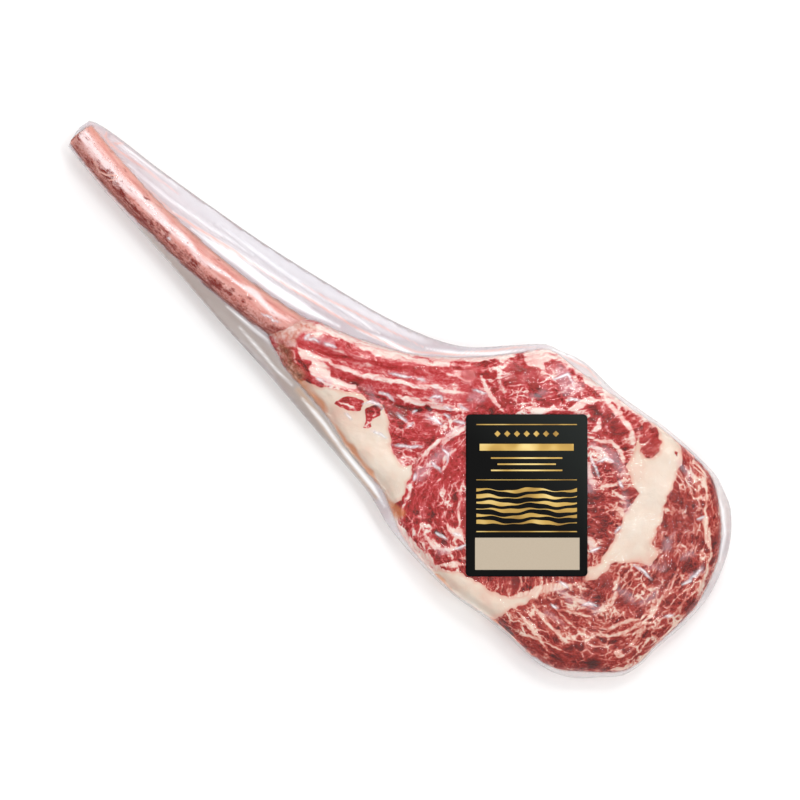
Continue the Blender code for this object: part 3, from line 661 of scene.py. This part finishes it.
# Streaks of fibre bundles, soft clouds, specks of fat, the mottle of stains and the waves of the firm
# fat, with their length, width and depth in millimetres
streaks, clouds, specks, mottle, fat_wave = [
    add(tree, "ShaderNodeTexNoise", {
        "Vector": add(tree, "ShaderNodeMapping", {
            "Vector": place, "Scale": [1000 / size for size in sizes],
        }).outputs[0],
        "Scale": 1.0, "Detail": detail, "Roughness": roughness,
    }).outputs["Fac"]
    for place, sizes, detail, roughness in (
        (lay, (18.18, 1.923, 3.333), 4, 0.62),
        (here, (11.11, 11.11, 11.11), 6, 0.68),
        (here, (1.0526, 1.0526, 1.0526), 2, 0.5),
        (here, (3.704, 3.704, 3.704), 5, 0.65),
        (here, (16.667, 16.667, 16.667), 5, 0.5),
    )
]
# From 0, the darkest lean, to 1, white fat
tone = add(tree, "ShaderNodeMath", {0: streaks, 1: 1.10, 2: -1.20}, operation="MULTIPLY_ADD").outputs[0]
for part, gain in (
    (clouds, 1.45), (specks, 0.30), (plain, 0.31), (broad_net, 0.58), (fine_net, 0.38), (deep, -0.42),
):
    tone = add(tree, "ShaderNodeMath", {0: part, 1: gain, 2: tone}, operation="MULTIPLY_ADD").outputs[0]
# The pale bands and layers, with frayed edges
frayed = add(tree, "ShaderNodeMath", {0: streaks, 1: 1.3, 2: -1.10},
             operation="MULTIPLY_ADD").outputs[0]
frayed = add(tree, "ShaderNodeMath", {0: clouds, 1: 0.9, 2: frayed},
             operation="MULTIPLY_ADD").outputs[0]
frayed = add(tree, "ShaderNodeMath", {0: pale, 1: frayed}, operation="ADD").outputs[0]
frayed = add(tree, "ShaderNodeMapRange", {
    "Value": frayed, "From Min": 0.30, "From Max": 0.85,
}).outputs[0]
white = add(tree, "ShaderNodeMath", {0: streaks, 1: 0.7, 2: 0.58}, operation="MULTIPLY_ADD").outputs[0]
tone = add(tree, "ShaderNodeMix", {0: frayed, 2: tone, 3: white}, data_type="FLOAT").outputs[0]
bright_beef = add(tree, "ShaderNodeValToRGB", {"Fac": tone})
ramped(bright_beef, [
    (0.00, hexed("64100A")), (0.18, hexed("9E1A10")), (0.40, hexed("BF2427")), (0.58, hexed("D0464A")),
    (0.73, hexed("DF7E80")), (0.86, hexed("EFBCB6")), (1.00, hexed("F9EBE3")),
])
brown_beef = add(tree, "ShaderNodeValToRGB", {"Fac": tone})
ramped(brown_beef, [
    (0.00, hexed("530F09")), (0.18, hexed("81170E")), (0.40, hexed("A82A20")), (0.58, hexed("C24B3F")),
    (0.73, hexed("D88474")), (0.86, hexed("E2AC9B")), (1.00, hexed("F3DDCE")),
])
fat_tone = add(tree, "ShaderNodeValToRGB", {"Fac": fat_wave})
ramped(fat_tone, [(0.30, hexed("EBCBBB")), (0.46, hexed("EEDACA")), (0.7, hexed("F1E4D7"))])
stained = add(tree, "ShaderNodeValToRGB", {"Fac": mottle})
ramped(stained, [
    (0.36, hexed("744528")), (0.46, hexed("A9704F")), (0.55, hexed("CE8E78")), (0.64, hexed("E4C2B0")),
])
membrane = add(tree, "ShaderNodeValToRGB", {"Fac": mottle})
ramped(membrane, [
    (0.32, hexed("CC7462")), (0.42, hexed("E2AC9C")), (0.52, hexed("EACABE")), (0.62, hexed("F6E6E0")),
])
core = add(tree, "ShaderNodeMath", {0: fat_wave, 1: 0.5, 2: core}, operation="MULTIPLY_ADD").outputs[0]
cream = add(tree, "ShaderNodeMath", {0: specks, 1: 0.5, 2: cream}, operation="MULTIPLY_ADD").outputs[0]
rust = add(tree, "ShaderNodeMath", {0: rust, 1: fat_wave}, operation="MULTIPLY").outputs[0]
stain = add(tree, "ShaderNodeMath", {0: stain, 1: clouds}, operation="MULTIPLY").outputs[0]
sinew = add(tree, "ShaderNodeMath", {0: sinew, 1: 0.85}, operation="MULTIPLY").outputs[0]
core, cream, rust, stain = [
    add(tree, "ShaderNodeMapRange", {
        "Value": value, "From Min": low, "From Max": high, "To Max": most,
    }).outputs[0]
    for value, low, high, most in (
        (core, 0.70, 1.15, 1.0), (cream, 0.60, 0.85, 1.0), (rust, 0.08, 0.42, 0.8),
        (stain, 0.12, 0.5, 0.85),
    )
]
# Firm fat is cream inside and flushed pink at its fringe
fat = add(tree, "ShaderNodeMix", {
    0: core, 6: hexed("E8B7A4"), 7: fat_tone.outputs[0],
}, data_type="RGBA").outputs[2]
colour = bright_beef.outputs[0]
for share, over in (
    (far_half, brown_beef.outputs[0]), (cream, fat), (rust, hexed("DC8A55")),
    (stain, stained.outputs[0]), (sinew, membrane.outputs[0]),
):
    colour = add(tree, "ShaderNodeMix", {0: share, 6: colour, 7: over}, data_type="RGBA").outputs[2]
tree.links.new(colour, shader.inputs["Base Color"])
shader.inputs["Roughness"].default_value = 0.45
shader.inputs["Specular IOR Level"].default_value = 0.2
shader.inputs["Subsurface Weight"].default_value = 0.10
shader.inputs["Subsurface Radius"].default_value = (1.0, 0.35, 0.25)
shader.inputs["Subsurface Scale"].default_value = 0.0012
bump = add(tree, "ShaderNodeBump", {"Height": tone, "Strength": 0.35, "Distance": 0.0008})
tree.links.new(bump.outputs[0], shader.inputs["Normal"])
steak.data.materials.append(beef)
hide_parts(*MEAT_NODES)
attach(steak, "root")


# The bag
# Clear vacuum film, two sheets sealed together at a trimmed edge. It lies tight on meat and bone
# and slopes from them to the flat web, which is drawn into long pleats between tip and meat.
def outer_loop(node, middle, reach):
    """The outline in plan of a solid's upright rim near a height, in millimetres."""
    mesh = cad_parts[node].data
    links = {}
    for face in mesh.polygons:
        wall = [mesh.vertices[i].co for i in face.vertices]
        if abs(face.normal.z) < 0.02 and all(abs(spot.z - middle) < reach for spot in wall):
            ends = {(round(spot.x * 1000, 2), round(spot.y * 1000, 2)) for spot in wall}
            if len(ends) == 2:
                first, second = ends
                links.setdefault(first, set()).add(second)
                links.setdefault(second, set()).add(first)
    # Started at an open end if the rim has one, and closed from the other end
    loop = [min(links, key=lambda spot: (len(links[spot]), spot))]
    while True:
        onward = [spot for spot in links[loop[-1]] if spot not in loop[-3:] and spot != loop[0]]
        if not onward or len(loop) > len(links):
            return np.array(loop)
        loop.append(onward[0])


def heights(trees, plan, upward):
    """The outermost height over each point of the plan, in millimetres, or NOWHERE."""
    found = np.full(len(plan), -NOWHERE if upward else NOWHERE)
    start, way = (ABOVE_ALL, -1) if upward else (-ABOVE_ALL, 1)
    for tree in trees:
        for i, (x, y) in enumerate(plan / 1000):
            spot = tree.ray_cast(Vector((x, y, start)), Vector((0, 0, way)))[0]
            if spot is not None:
                found[i] = max(found[i], spot.z * 1000) if upward else min(found[i], spot.z * 1000)
    return found


# Far above or below anything, in millimetres
NOWHERE = 1e3
# In millimetres: the height of the seal, and the gaps between the film and its contents, the label
# and the table
SEAL_HEIGHT = 21.0
CONTENTS_GAP, LABEL_GAP, TABLE_GAP = 0.14, 0.04, 0.04
PULL_ROUNDS = 26
edge = outer_loop("bag", SEAL_HEIGHT / 1000, 0.0008)
if ((edge[:, 0] * np.roll(edge[:, 1], -1)) - (np.roll(edge[:, 0], -1) * edge[:, 1])).sum() < 0:
    edge = edge[::-1]
seam = np.vstack((edge, edge[:1]))
contents = [search_tree(steak), search_tree(bone)]
web_tree = search_tree(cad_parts["bag"])
label_tree = search_tree(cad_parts["label"])

# Pleats in the web: raised ridges with a painted white highlight along them, and thin lines of juice
# trapped in them
HIGHLIT_PLEATS = [
    ([(-140, 5), (-100, 7), (-70, 9), (-55, 10.5)], 0.7),
    ([(-60, 10), (-45, 13), (-30, 15), (-18, 15.6)], 0.6),
    ([(-165, -6.5), (-130, -2.5), (-100, 1), (-80, 3), (-60, 6), (-40, 9)], 1.2),
    ([(-150, -7), (-120, -5), (-90, -4), (-60, -1), (-40, 3)], 2.6),
    ([(-205, -1), (-170, -2), (-140, 1), (-110, 4)], 0.6), ([(-225, 6), (-200, 6.5), (-175, 7)], 0.5),
    ([(-30, 9), (-12, 14), (8, 19), (24, 28)], 1.2), ([(10, 27), (28, 37), (44, 50), (58, 64)], 0.9),
    ([(-102, -31), (-84, -31), (-66, -32)], 0.6), ([(-88, -36), (-60, -41), (-40, -44)], 0.5),
    ([(-30, -46), (-8, -50), (12, -55)], 0.9), ([(0, -52.5), (20, -57), (38, -61), (52, -66)], 1.3),
    ([(205, 71), (216, 64), (227, 53), (235, 39)], 0.7), ([(72, 76), (84, 79.5), (95, 80)], 0.6),
]
JUICE_LINES = [
    ([(-190, -4.5), (-165, -7), (-140, -3.6), (-118, -1), (-100, 0)], 0.35),
    ([(-100, 0), (-80, 2.6), (-60, 5), (-40, 8), (-18, 12), (5, 16.5)], 0.35),
    ([(-75, 9.5), (-55, 12), (-38, 16.5), (-15, 21), (8, 26)], 0.25),
    ([(-10, 16), (6, 21), (22, 31), (38, 44)], 0.3),
    ([(-237, 3.8), (-229, 3.2), (-215, 1.5), (-200, 3.4), (-170, 4.5)], 0.3),
    ([(-229, 7.4), (-227, 3.4), (-220, 0.6)], 0.3), ([(-216, 8), (-219, 5), (-222, 3)], 0.25),
    ([(-236, -16), (-215, -20.6), (-180, -25.8)], 0.35),
    ([(30, 40), (44, 52), (56, 65), (62, 70)], 0.25), ([(78, 76), (96, 80.5), (108, 77.5)], 0.3),
]
# Painted shade on the lower web beside bone and meat, and a brown band along the lip fat
SHADED_WEB_LINE = [(-170, -27), (-130, -33), (-95, -36), (-60, -39), (-35, -45), (0, -53), (30, -59)]
BROWN = [(-35, -43), (-12, -50), (8, -55), (28, -60), (44, -64)]
# Painted glare: soft lilac reflections painted into the film over the meat
GLARE = [
    ([(133, 31), (139, 27), (143, 23)], 3.4), ([(129, 45), (142, 46), (152, 43)], 2.2),
    ([(200, 31), (203, 22)], 1.4), ([(218, 31), (215, 24)], 1.3), ([(229, 28), (226, 20)], 1.4),
    ([(208, 12), (201, 9)], 1.2), ([(196, -14), (208, -14)], 1.4), ([(184, -34), (194, -32)], 1.4),
    ([(166, -37), (178, -38)], 1.6), ([(163, -2), (168, -5)], 2.2), ([(162, 33), (170, 26)], 1.8),
    ([(85, 67), (92, 62), (97, 66)], 3.8), ([(84, 52), (80, 45)], 1.8), ([(50, 22), (56, 24)], 2.0),
    ([(30, 12), (36, 7)], 1.8), ([(57, -38), (57.3, -31), (56, -21), (59, -15)], 2.6),
    ([(57, 2), (54, -6)], 1.4), ([(-44, -11), (-36, -8)], 1.4), ([(-2, -16), (6, -19)], 1.4),
    ([(38, -5), (45, -4)], 1.4), ([(175, 70), (186, 66)], 2.6), ([(94, -66), (99, -62)], 2.0),
    ([(-27, -30), (-22, -28)], 1.8), ([(216, 0), (213, -10)], 1.4), ([(170, -54), (182, -53)], 1.2),
]
# Painted glints: thin white lines along the edges of the bands, painted into the film
GLINTS = [
    [(-51, -17), (-52, -15), (-51, -12)], [(-51, -16), (-47, -13), (-43, -12)], [(-41, -11), (-33, -8)],
    [(17, 8), (20, 10), (23, 10)], [(2, 0), (8, 3), (15, 7)], [(38, -6), (42, -4), (47, -4)],
    [(31, 4), (36, 9), (39, 7)], [(2, -25), (4, -21), (9, -19), (13, -20)],
    [(4, -13), (10, -11), (16, -11)], [(29, -10), (30, -7)], [(45, 2), (49, 3)], [(52, 2), (58, 6)],
    [(48, 12), (55, 13)], [(56, -15), (62, -16), (65, -20)], [(57, -26), (66, -27)],
    [(54, -37), (56, -42)], [(-31, -30), (-26, -29)], [(32, -19), (33, -14)],
    [(32, -33), (41, -27), (47, -22)], [(130, 39), (138, 35), (143, 32)],
    [(137, 38), (139, 43), (144, 45)], [(154, 38), (159, 36)], [(226, 19), (228, 23), (228, 28)],
    [(225, 13), (228, 19)], [(185, -37), (187, -33), (191, -31)], [(194, 3), (202, 4), (208, 3)],
    [(207, 49), (209, 54)], [(84, 61), (88, 69), (94, 67)], [(98, 57), (104, 61)], [(41, 5), (47, 7)],
    [(95, -52), (101, -50)], [(102, -59), (106, -52)], [(169, -48), (175, -47)],
    [(229, -10), (232, -5)], [(172, 11), (173, 17)], [(168, -7), (171, -1)], [(164, -34), (172, -33)],
    [(49, 25), (57, 28)], [(-82, -21), (-79, -20), (-76, -19), (-74, -20), (-70, -18)],
    [(-157, -21), (-155, -21)], [(86, -58), (90, -58), (94.2, -57)], [(-4, -36), (0, -36), (3, -37)],
    [(15, -34), (21, -33), (27, -32)], [(21, -16), (26, -16.5), (31, -16)],
]


def mean_beside(values, pairs):
    """The mean of each point's neighbours."""
    total, count = np.zeros(len(values)), np.zeros(len(values))
    for ends, others in (pairs.T, pairs.T[::-1]):
        np.add.at(total, ends, values[others])
        np.add.at(count, ends, 1)
    return total / count


def sheet_of_film(step, upward):
    """One of the two sheets: plan points, faces, heights, and how free and how sealed each point is."""
    rows = np.arange(edge[:, 1].min(), edge[:, 1].max(), step * math.sqrt(0.75))
    columns = np.arange(edge[:, 0].min(), edge[:, 0].max(), step)
    grid = np.array([(x + step / 2 * (row % 2), y) for row, y in enumerate(rows) for x in columns])
    grid = grid[stroke(grid, seam, step * 0.6, 0.001) < 0.5]
    points = [Vector(p) for p in np.vstack((edge, grid))]
    flat, _, triangles, *_ = delaunay_2d_cdt(points, [], [list(range(len(edge)))], 1, 1e-4)
    used, faces = np.unique(np.array([tuple(t) for t in triangles]), return_inverse=True)
    plan = np.array([tuple(p) for p in flat])[used]
    faces = faces.reshape(-1, 3)
    pairs = np.vstack((faces[:, (0, 1)], faces[:, (1, 2)], faces[:, (2, 0)]))
    pairs = np.unique(np.sort(pairs, axis=1), axis=0)
    # The lower sheet is shaped as its mirror image, so that both are drawn down onto a floor
    sign = 1 if upward else -1
    level = SEAL_HEIGHT * sign
    hard = heights(contents, plan, upward) * sign
    # The free film sinks a little below the solid that stands for it
    web = level + (heights([web_tree], plan, upward) * sign - level) * 0.92 - 0.3
    ceiling = np.full(len(plan), NOWHERE)
    if upward:
        ceiling = heights([label_tree], plan, False) - LABEL_GAP
    floor = np.minimum(np.maximum(np.maximum(hard + CONTENTS_GAP, web), level), ceiling)
    fixed = stroke(plan, seam, 0.05, 0.001) > 0.5
    # Each round pulls the sheet tight between the points that hold it up
    rise = floor
    for _ in range(PULL_ROUNDS):
        rise = np.maximum(floor, 0.35 * rise + 0.65 * mean_beside(rise, pairs))
        rise[fixed] = level
        rise = np.minimum(rise, ceiling)
    free = (hard < -NOWHERE / 2).astype(float)
    for _ in range(2):
        free = 0.4 * free + 0.6 * mean_beside(free, pairs)
    return plan, faces, rise * sign, free, fixed


top_plan, top_faces, top_rise, top_free, top_fixed = sheet_of_film(1.2, True)
low_plan, low_faces, low_rise, low_free, low_fixed = sheet_of_film(2.0, False)
low_rise = np.maximum(low_rise, 0.05)
plan = np.vstack((top_plan, low_plan))
rise = np.append(top_rise, low_rise)
upper = np.append(np.ones(len(top_plan)), np.zeros(len(low_plan)))
fixed = np.append(top_fixed, low_fixed)
web = ease(0.25, 0.85, np.append(top_free, low_free))
shape = np.column_stack((plan, rise))
# The pleats' painted white highlight, whose mask also lifts the ridges
pleat_highlight = np.max([
    stroke(wandered(shape, 0.6, 14, 31), line, width, 2.6, 0.15) for line, width in HIGHLIT_PLEATS
], axis=0)
juice = np.max([
    stroke(wandered(shape, 0.4, 9, 33), line, width + 0.35, 1.5, 0.3) for line, width in JUICE_LINES
], axis=0)
# Painted white glints
glint = np.max([stroke(wandered(shape, 0.5, 3, 47), line, 0.55, 1.5, 0.2) for line in GLINTS], axis=0)
# Painted lilac glare, softened and with wandering edges
glare = np.max([
    stroke(wandered(wandered(shape, 2.2, 6, 35), 1.4, 2.2, 38), line, width, 5) for line, width in GLARE
], axis=0)
crease = lumps(np.column_stack((plan[:, 0] * 0.35, plan[:, 1] * 1.4, rise)), 5.5, 41) - 0.5
pull = np.where(upper > 0, 1, -0.6) * web * (1.0 * pleat_highlight + 0.5 * crease)
ripple = np.where(upper > 0, 1, -0.4) * (1 - web) * 0.16 * (lumps(shape, 4.5, 43) - 0.5)
clear_edge = 1 - stroke(plan, seam, 1.2, 1.6)
rise = np.where(fixed, SEAL_HEIGHT, rise + (pull * clear_edge + ripple))
# The ripples take up to a quarter of the gap under the label
ceiling = heights([label_tree], top_plan, False) - 0.75 * LABEL_GAP
rise[:len(top_plan)] = np.minimum(rise[:len(top_plan)], ceiling)
rise = np.maximum(rise, TABLE_GAP)
low_faces = low_faces[:, ::-1] + len(top_plan)
film_mesh = bpy.data.meshes.new("film")
film_mesh.from_pydata(
    [tuple(v) for v in np.column_stack((plan, rise)) / 1000], [],
    [tuple(f) for f in np.vstack((top_faces, low_faces)).tolist()],
)
film = bpy.data.objects.new("film", film_mesh)
bpy.context.collection.objects.link(film)
for name, values in (
    ("pleat_highlight", pleat_highlight * web), ("juice", juice * web), ("glare", glare * (1 - web) * upper),
    ("glint", glint * upper), ("veil", ease(110, 40, plan[:, 0])), ("web", web),
    ("rim", stroke(plan, seam, 0.55, 0.8)), ("web_shade", stroke(plan, SHADED_WEB_LINE, 7, 9) * web),
    ("brown", stroke(wandered(shape, 0.8, 12, 45), BROWN, 1.6, 4) * web),
):
    mark(film, name, values)
bpy.ops.object.select_all(action="DESELECT")
film.select_set(True)
bpy.context.view_layer.objects.active = film
bpy.ops.object.mode_set(mode="EDIT")
bpy.ops.mesh.select_all(action="SELECT")
bpy.ops.mesh.remove_doubles(threshold=0.00002)
bpy.ops.mesh.normals_make_consistent(inside=False)
bpy.ops.object.mode_set(mode="OBJECT")
bpy.ops.object.shade_smooth()
mark(film, "flat", np.abs(facing(film)[:, 2]))

# Clear multilayer film: it shows by its gloss, and turns milky where two sheets hang free and where
# it is seen at a slant
clear_film, tree, shader = finish_named("clear vacuum film")
web, pleat_highlight, juice, glare, glint, rim, web_shade, brown, veil, flat = [
    add(tree, "ShaderNodeAttribute", attribute_name=name).outputs["Fac"]
    for name in ("web", "pleat_highlight", "juice", "glare", "glint", "rim", "web_shade", "brown", "veil", "flat")
]
# Painted shade, painted pleat highlights, painted glare and painted glints are mixed into the film's
# colour
colour = hexed("F8F6FA")
for share, code in (
    (veil, "DCD8E2"), (web_shade, "B8ACA6"), (brown, "B4947C"), (pleat_highlight, "FDFDFF"), (glare, "F8DCE8"),
    (glint, "FFFDFE"), (juice, "DDA79B"), (rim, "ACA7A4"),
):
    layer = add(tree, "ShaderNodeMix", {0: share, 6: colour, 7: hexed(code)}, data_type="RGBA")
    colour = layer.outputs[2]
milk = add(tree, "ShaderNodeMath", {0: veil, 1: flat}, operation="MULTIPLY").outputs[0]
milk = add(tree, "ShaderNodeMapRange", {"Value": milk, "To Min": 0.08, "To Max": 0.34}).outputs[0]
slant = add(tree, "ShaderNodeLayerWeight", {"Blend": 0.5}).outputs["Facing"]
milk = add(tree, "ShaderNodeMath", {0: slant, 1: 0.60, 2: milk}, operation="MULTIPLY_ADD").outputs[0]
body = add(tree, "ShaderNodeMath", {0: web, 1: milk}, operation="MULTIPLY").outputs[0]
# The painted shade, highlights, glare and glints also make the film less clear
for part, gain in (
    (web_shade, 0.22), (brown, 0.35), (pleat_highlight, 0.45), (juice, 0.45), (glare, 0.20), (glint, 0.85),
    (rim, 0.30),
):
    body = add(tree, "ShaderNodeMath", {0: part, 1: gain, 2: body},
               operation="MULTIPLY_ADD", use_clamp=True).outputs[0]
tree.links.new(colour, shader.inputs["Base Color"])
shader.inputs["Roughness"].default_value = 0.25
shader.inputs["Specular IOR Level"].default_value = 0.3
through = add(tree, "ShaderNodeBsdfTransparent", {"Color": (1, 1, 1, 1)}).outputs[0]
milky = add(tree, "ShaderNodeMixShader", {0: body, 1: through, 2: shader.outputs[0]}).outputs[0]
here = add(tree, "ShaderNodeTexCoord").outputs["Object"]
# Fine wrinkles, 6.25 mm apart and broken up, catch the light
wrinkle = add(tree, "ShaderNodeTexNoise", {
    "Vector": here, "Scale": 1000 / 6.25, "Detail": 4, "Roughness": 0.6,
}).outputs["Fac"]
bump = add(tree, "ShaderNodeBump", {"Height": wrinkle, "Strength": 0.5, "Distance": 0.0015}).outputs[0]
gloss = add(tree, "ShaderNodeBsdfGlossy", {"Roughness": 0.06, "Normal": bump}).outputs[0]
mirror = add(tree, "ShaderNodeFresnel", {"IOR": 1.45, "Normal": bump}).outputs[0]
mirror = add(tree, "ShaderNodeMath", {0: mirror, 1: 0.8}, operation="MULTIPLY").outputs[0]
sheen = add(tree, "ShaderNodeMixShader", {0: mirror, 1: milky, 2: gloss}).outputs[0]
tree.links.new(sheen, tree.nodes["Material Output"].inputs["Surface"])
film.data.materials.append(clear_film)
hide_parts("bag")
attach(film, "root")


# Label
# A black satin card of 75 by 100 mm stuck on the film, level with the frame of the picture. Its
# print is thin gold foil over one bare field.

STEAK_TURN = math.radians(39)
LABEL_MIDDLE = np.array((115.6, -5.1))
LABEL_RIGHT = np.array((math.cos(STEAK_TURN), math.sin(STEAK_TURN)))
LABEL_UP = np.array((-LABEL_RIGHT[1], LABEL_RIGHT[0]))
# Printed black card: deep black, with a painted sheen that makes it faintly paler toward its upper
# right corner
black_card, tree, shader = finish_named("black satin label card")
here = add(tree, "ShaderNodeTexCoord").outputs["Object"]
fade = add(tree, "ShaderNodeMapping", {
    "Vector": here, "Location": (*LABEL_MIDDLE / 1000, 0), "Rotation": (0, 0, STEAK_TURN),
}, vector_type="TEXTURE").outputs[0]
parts = add(tree, "ShaderNodeSeparateXYZ", {0: fade})
painted_sheen = add(tree, "ShaderNodeMath", {0: parts.outputs[0], 1: parts.outputs[1]},
            operation="ADD").outputs[0]
painted_sheen = add(tree, "ShaderNodeMapRange", {"Value": painted_sheen, "From Min": 0.0, "From Max": 0.085}).outputs[0]
card = add(tree, "ShaderNodeMix", {
    0: painted_sheen, 6: hexed("000000"), 7: hexed("1E2220"),
}, data_type="RGBA").outputs[2]
tree.links.new(card, shader.inputs["Base Color"])
shader.inputs["Roughness"].default_value = 0.45
shader.inputs["Specular IOR Level"].default_value = 0.08
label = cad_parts["label"]
label.data.materials.clear()
label.data.materials.append(black_card)

CARD_TOP = max(v.co.z for v in label.data.vertices) * 1000


def printed(name, outlines, thickness):
    """A thin raised print on the card from closed outlines in the card's own millimetres."""
    points, faces = [], []
    for outline in outlines:
        first, count = len(points), len(outline)
        for level in (CARD_TOP - 0.02, CARD_TOP + thickness):
            for across, up in outline:
                x, y = LABEL_MIDDLE + across * LABEL_RIGHT + up * LABEL_UP
                points.append((x / 1000, y / 1000, level / 1000))
        faces.append(tuple(range(first + count - 1, first - 1, -1)))
        faces.append(tuple(range(first + count, first + 2 * count)))
        for k in range(count):
            after = (k + 1) % count
            faces.append((first + k, first + after, first + count + after, first + count + k))
    mesh = bpy.data.meshes.new(name)
    mesh.from_pydata(points, [], faces)
    made = bpy.data.objects.new(name, mesh)
    bpy.context.collection.objects.link(made)
    return made


def bar(left, low, right, high):
    """A plain rectangle."""
    return [(left, low), (right, low), (right, high), (left, high)]


# From the top: a rule, a row of lozenges, bars and short rules, and a band of gold ripples
foil = [bar(-31, 43.4, 31, 44.0)]
for across in (-18, -12, -6, 0, 6, 12, 18):
    foil.append([(across - 1.9, 38), (across, 36.1), (across + 1.9, 38), (across, 39.9)])
for reach, low, high in (
    (29, 27.6, 31.8), (22, 22.6, 23.5), (18, 18.8, 19.7), (22, 15.0, 15.9), (31, 9.4, 9.8),
):
    foil.append(bar(-reach, low, reach, high))
sweep = np.linspace(-31, 31, 63)
for row in range(6):
    middle = -16.9 + row * 4.0
    wave = middle + 0.75 * np.sin(sweep * 0.20 + 0.5) + 0.25 * np.sin(sweep * 0.55 + row * 0.4)
    half = 0.75 + 0.55 * np.sin(sweep * 0.17 + row * 1.6)
    foil.append(list(zip(sweep, wave - half)) + list(zip(sweep, wave + half))[::-1])
foil.append(bar(-31, -22.6, 31, -22.0))
gold_print = printed("gold_print", foil, 0.04)
# Gold foil print, satin, with bright and dull places about 22 mm apart
gold_foil, tree, shader = finish_named("gold foil print")
here = add(tree, "ShaderNodeTexCoord").outputs["Object"]
shine = add(tree, "ShaderNodeTexNoise", {
    "Vector": here, "Scale": 1000 / 22.22, "Detail": 2,
}).outputs["Fac"]
gold = add(tree, "ShaderNodeValToRGB", {"Fac": shine})
ramped(gold, [(0.35, hexed("8F6E34")), (0.5, hexed("B3914A")), (0.65, hexed("D6BC7A"))])
tree.links.new(gold.outputs[0], shader.inputs["Base Color"])
shader.inputs["Metallic"].default_value = 0.7
shader.inputs["Roughness"].default_value = 0.42
gold_print.data.materials.append(gold_foil)
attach(gold_print, "root")

bare_field = printed("bare_field", [bar(-31.8, -45.9, 32.6, -26.1)], 0.03)
# Uncoated paper-coloured field for writing on, its tooth drawn 0.56 mm coarse so that it shows
field_paper, tree, shader = finish_named("bare beige label field")
here = add(tree, "ShaderNodeTexCoord").outputs["Object"]
tooth = add(tree, "ShaderNodeTexNoise", {
    "Vector": here, "Scale": 1000 / 0.5556, "Detail": 2,
}).outputs["Fac"]
paper = add(tree, "ShaderNodeMix", {
    0: tooth, 6: hexed("A99B88"), 7: hexed("BAAC99"),
}, data_type="RGBA").outputs[2]
tree.links.new(paper, shader.inputs["Base Color"])
shader.inputs["Roughness"].default_value = 0.85
shader.inputs["Specular IOR Level"].default_value = 0.2
bare_field.data.materials.append(field_paper)
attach(bare_field, "root")


# Floor
# A plain pale table top, matt, only there to stand the steak on. It lies 0.2 mm low so that it
# touches nothing.
bpy.ops.object.select_all(action="DESELECT")
bpy.ops.mesh.primitive_plane_add(size=6, location=(0, 0, -0.0002))
floor = bpy.context.active_object
floor.name = "floor"
pale_floor, tree, shader = finish_named("pale matt table top")
shader.inputs["Base Color"].default_value = hexed("FBFBFB")
shader.inputs["Roughness"].default_value = 0.9
shader.inputs["Specular IOR Level"].default_value = 0.1
floor.data.materials.append(pale_floor)


# Light
# Soft studio light: a bright white room, and a large panel above the rib side that models the
# bone and the rim of the meat and draws small glints on the film.
world = bpy.data.worlds.new("white room")
bpy.context.scene.world = world
world.use_nodes = True
world.node_tree.nodes["Background"].inputs["Color"].default_value = hexed("FFFFFF")
world.node_tree.nodes["Background"].inputs["Strength"].default_value = 0.98
for name, place, size, power in (
    ("broad panel over the rib side", (-0.30, 0.80, 1.0), 0.60, 3.0),
    ("small panel overhead", (0.02, 0.36, 1.15), 0.16, 2.0),
    ("small panel over the far end", (0.55, 0.10, 1.10), 0.12, 1.2),
):
    bpy.ops.object.light_add(type="AREA", location=place)
    panel = bpy.context.active_object
    panel.name = name
    panel.data.size = size
    panel.data.energy = power
    panel.rotation_euler = (-Vector(place)).to_track_quat("-Z", "Y").to_euler()


# Camera
# Straight above, turned so that the bone points to the upper left of the frame.

# In metres but for the scale: the camera's height, and the height at which the scale holds
MM_PER_PIXEL, FRAME_PIXELS = 0.62, 800
FRAME_MIDDLE = (0.01787, -0.00853)
CAMERA_HEIGHT, SCALE_HEIGHT = 2.4, 0.030
bpy.ops.object.camera_add(location=(*FRAME_MIDDLE, CAMERA_HEIGHT), rotation=(0, 0, STEAK_TURN))
camera = bpy.context.active_object
camera.name = "camera"
frame_width = MM_PER_PIXEL * FRAME_PIXELS / 1000
camera.data.sensor_width = 36
camera.data.lens = camera.data.sensor_width * (CAMERA_HEIGHT - SCALE_HEIGHT) / frame_width
camera.data.clip_end = 20
bpy.context.scene.camera = camera
bpy.context.scene.view_settings.view_transform = "Standard"
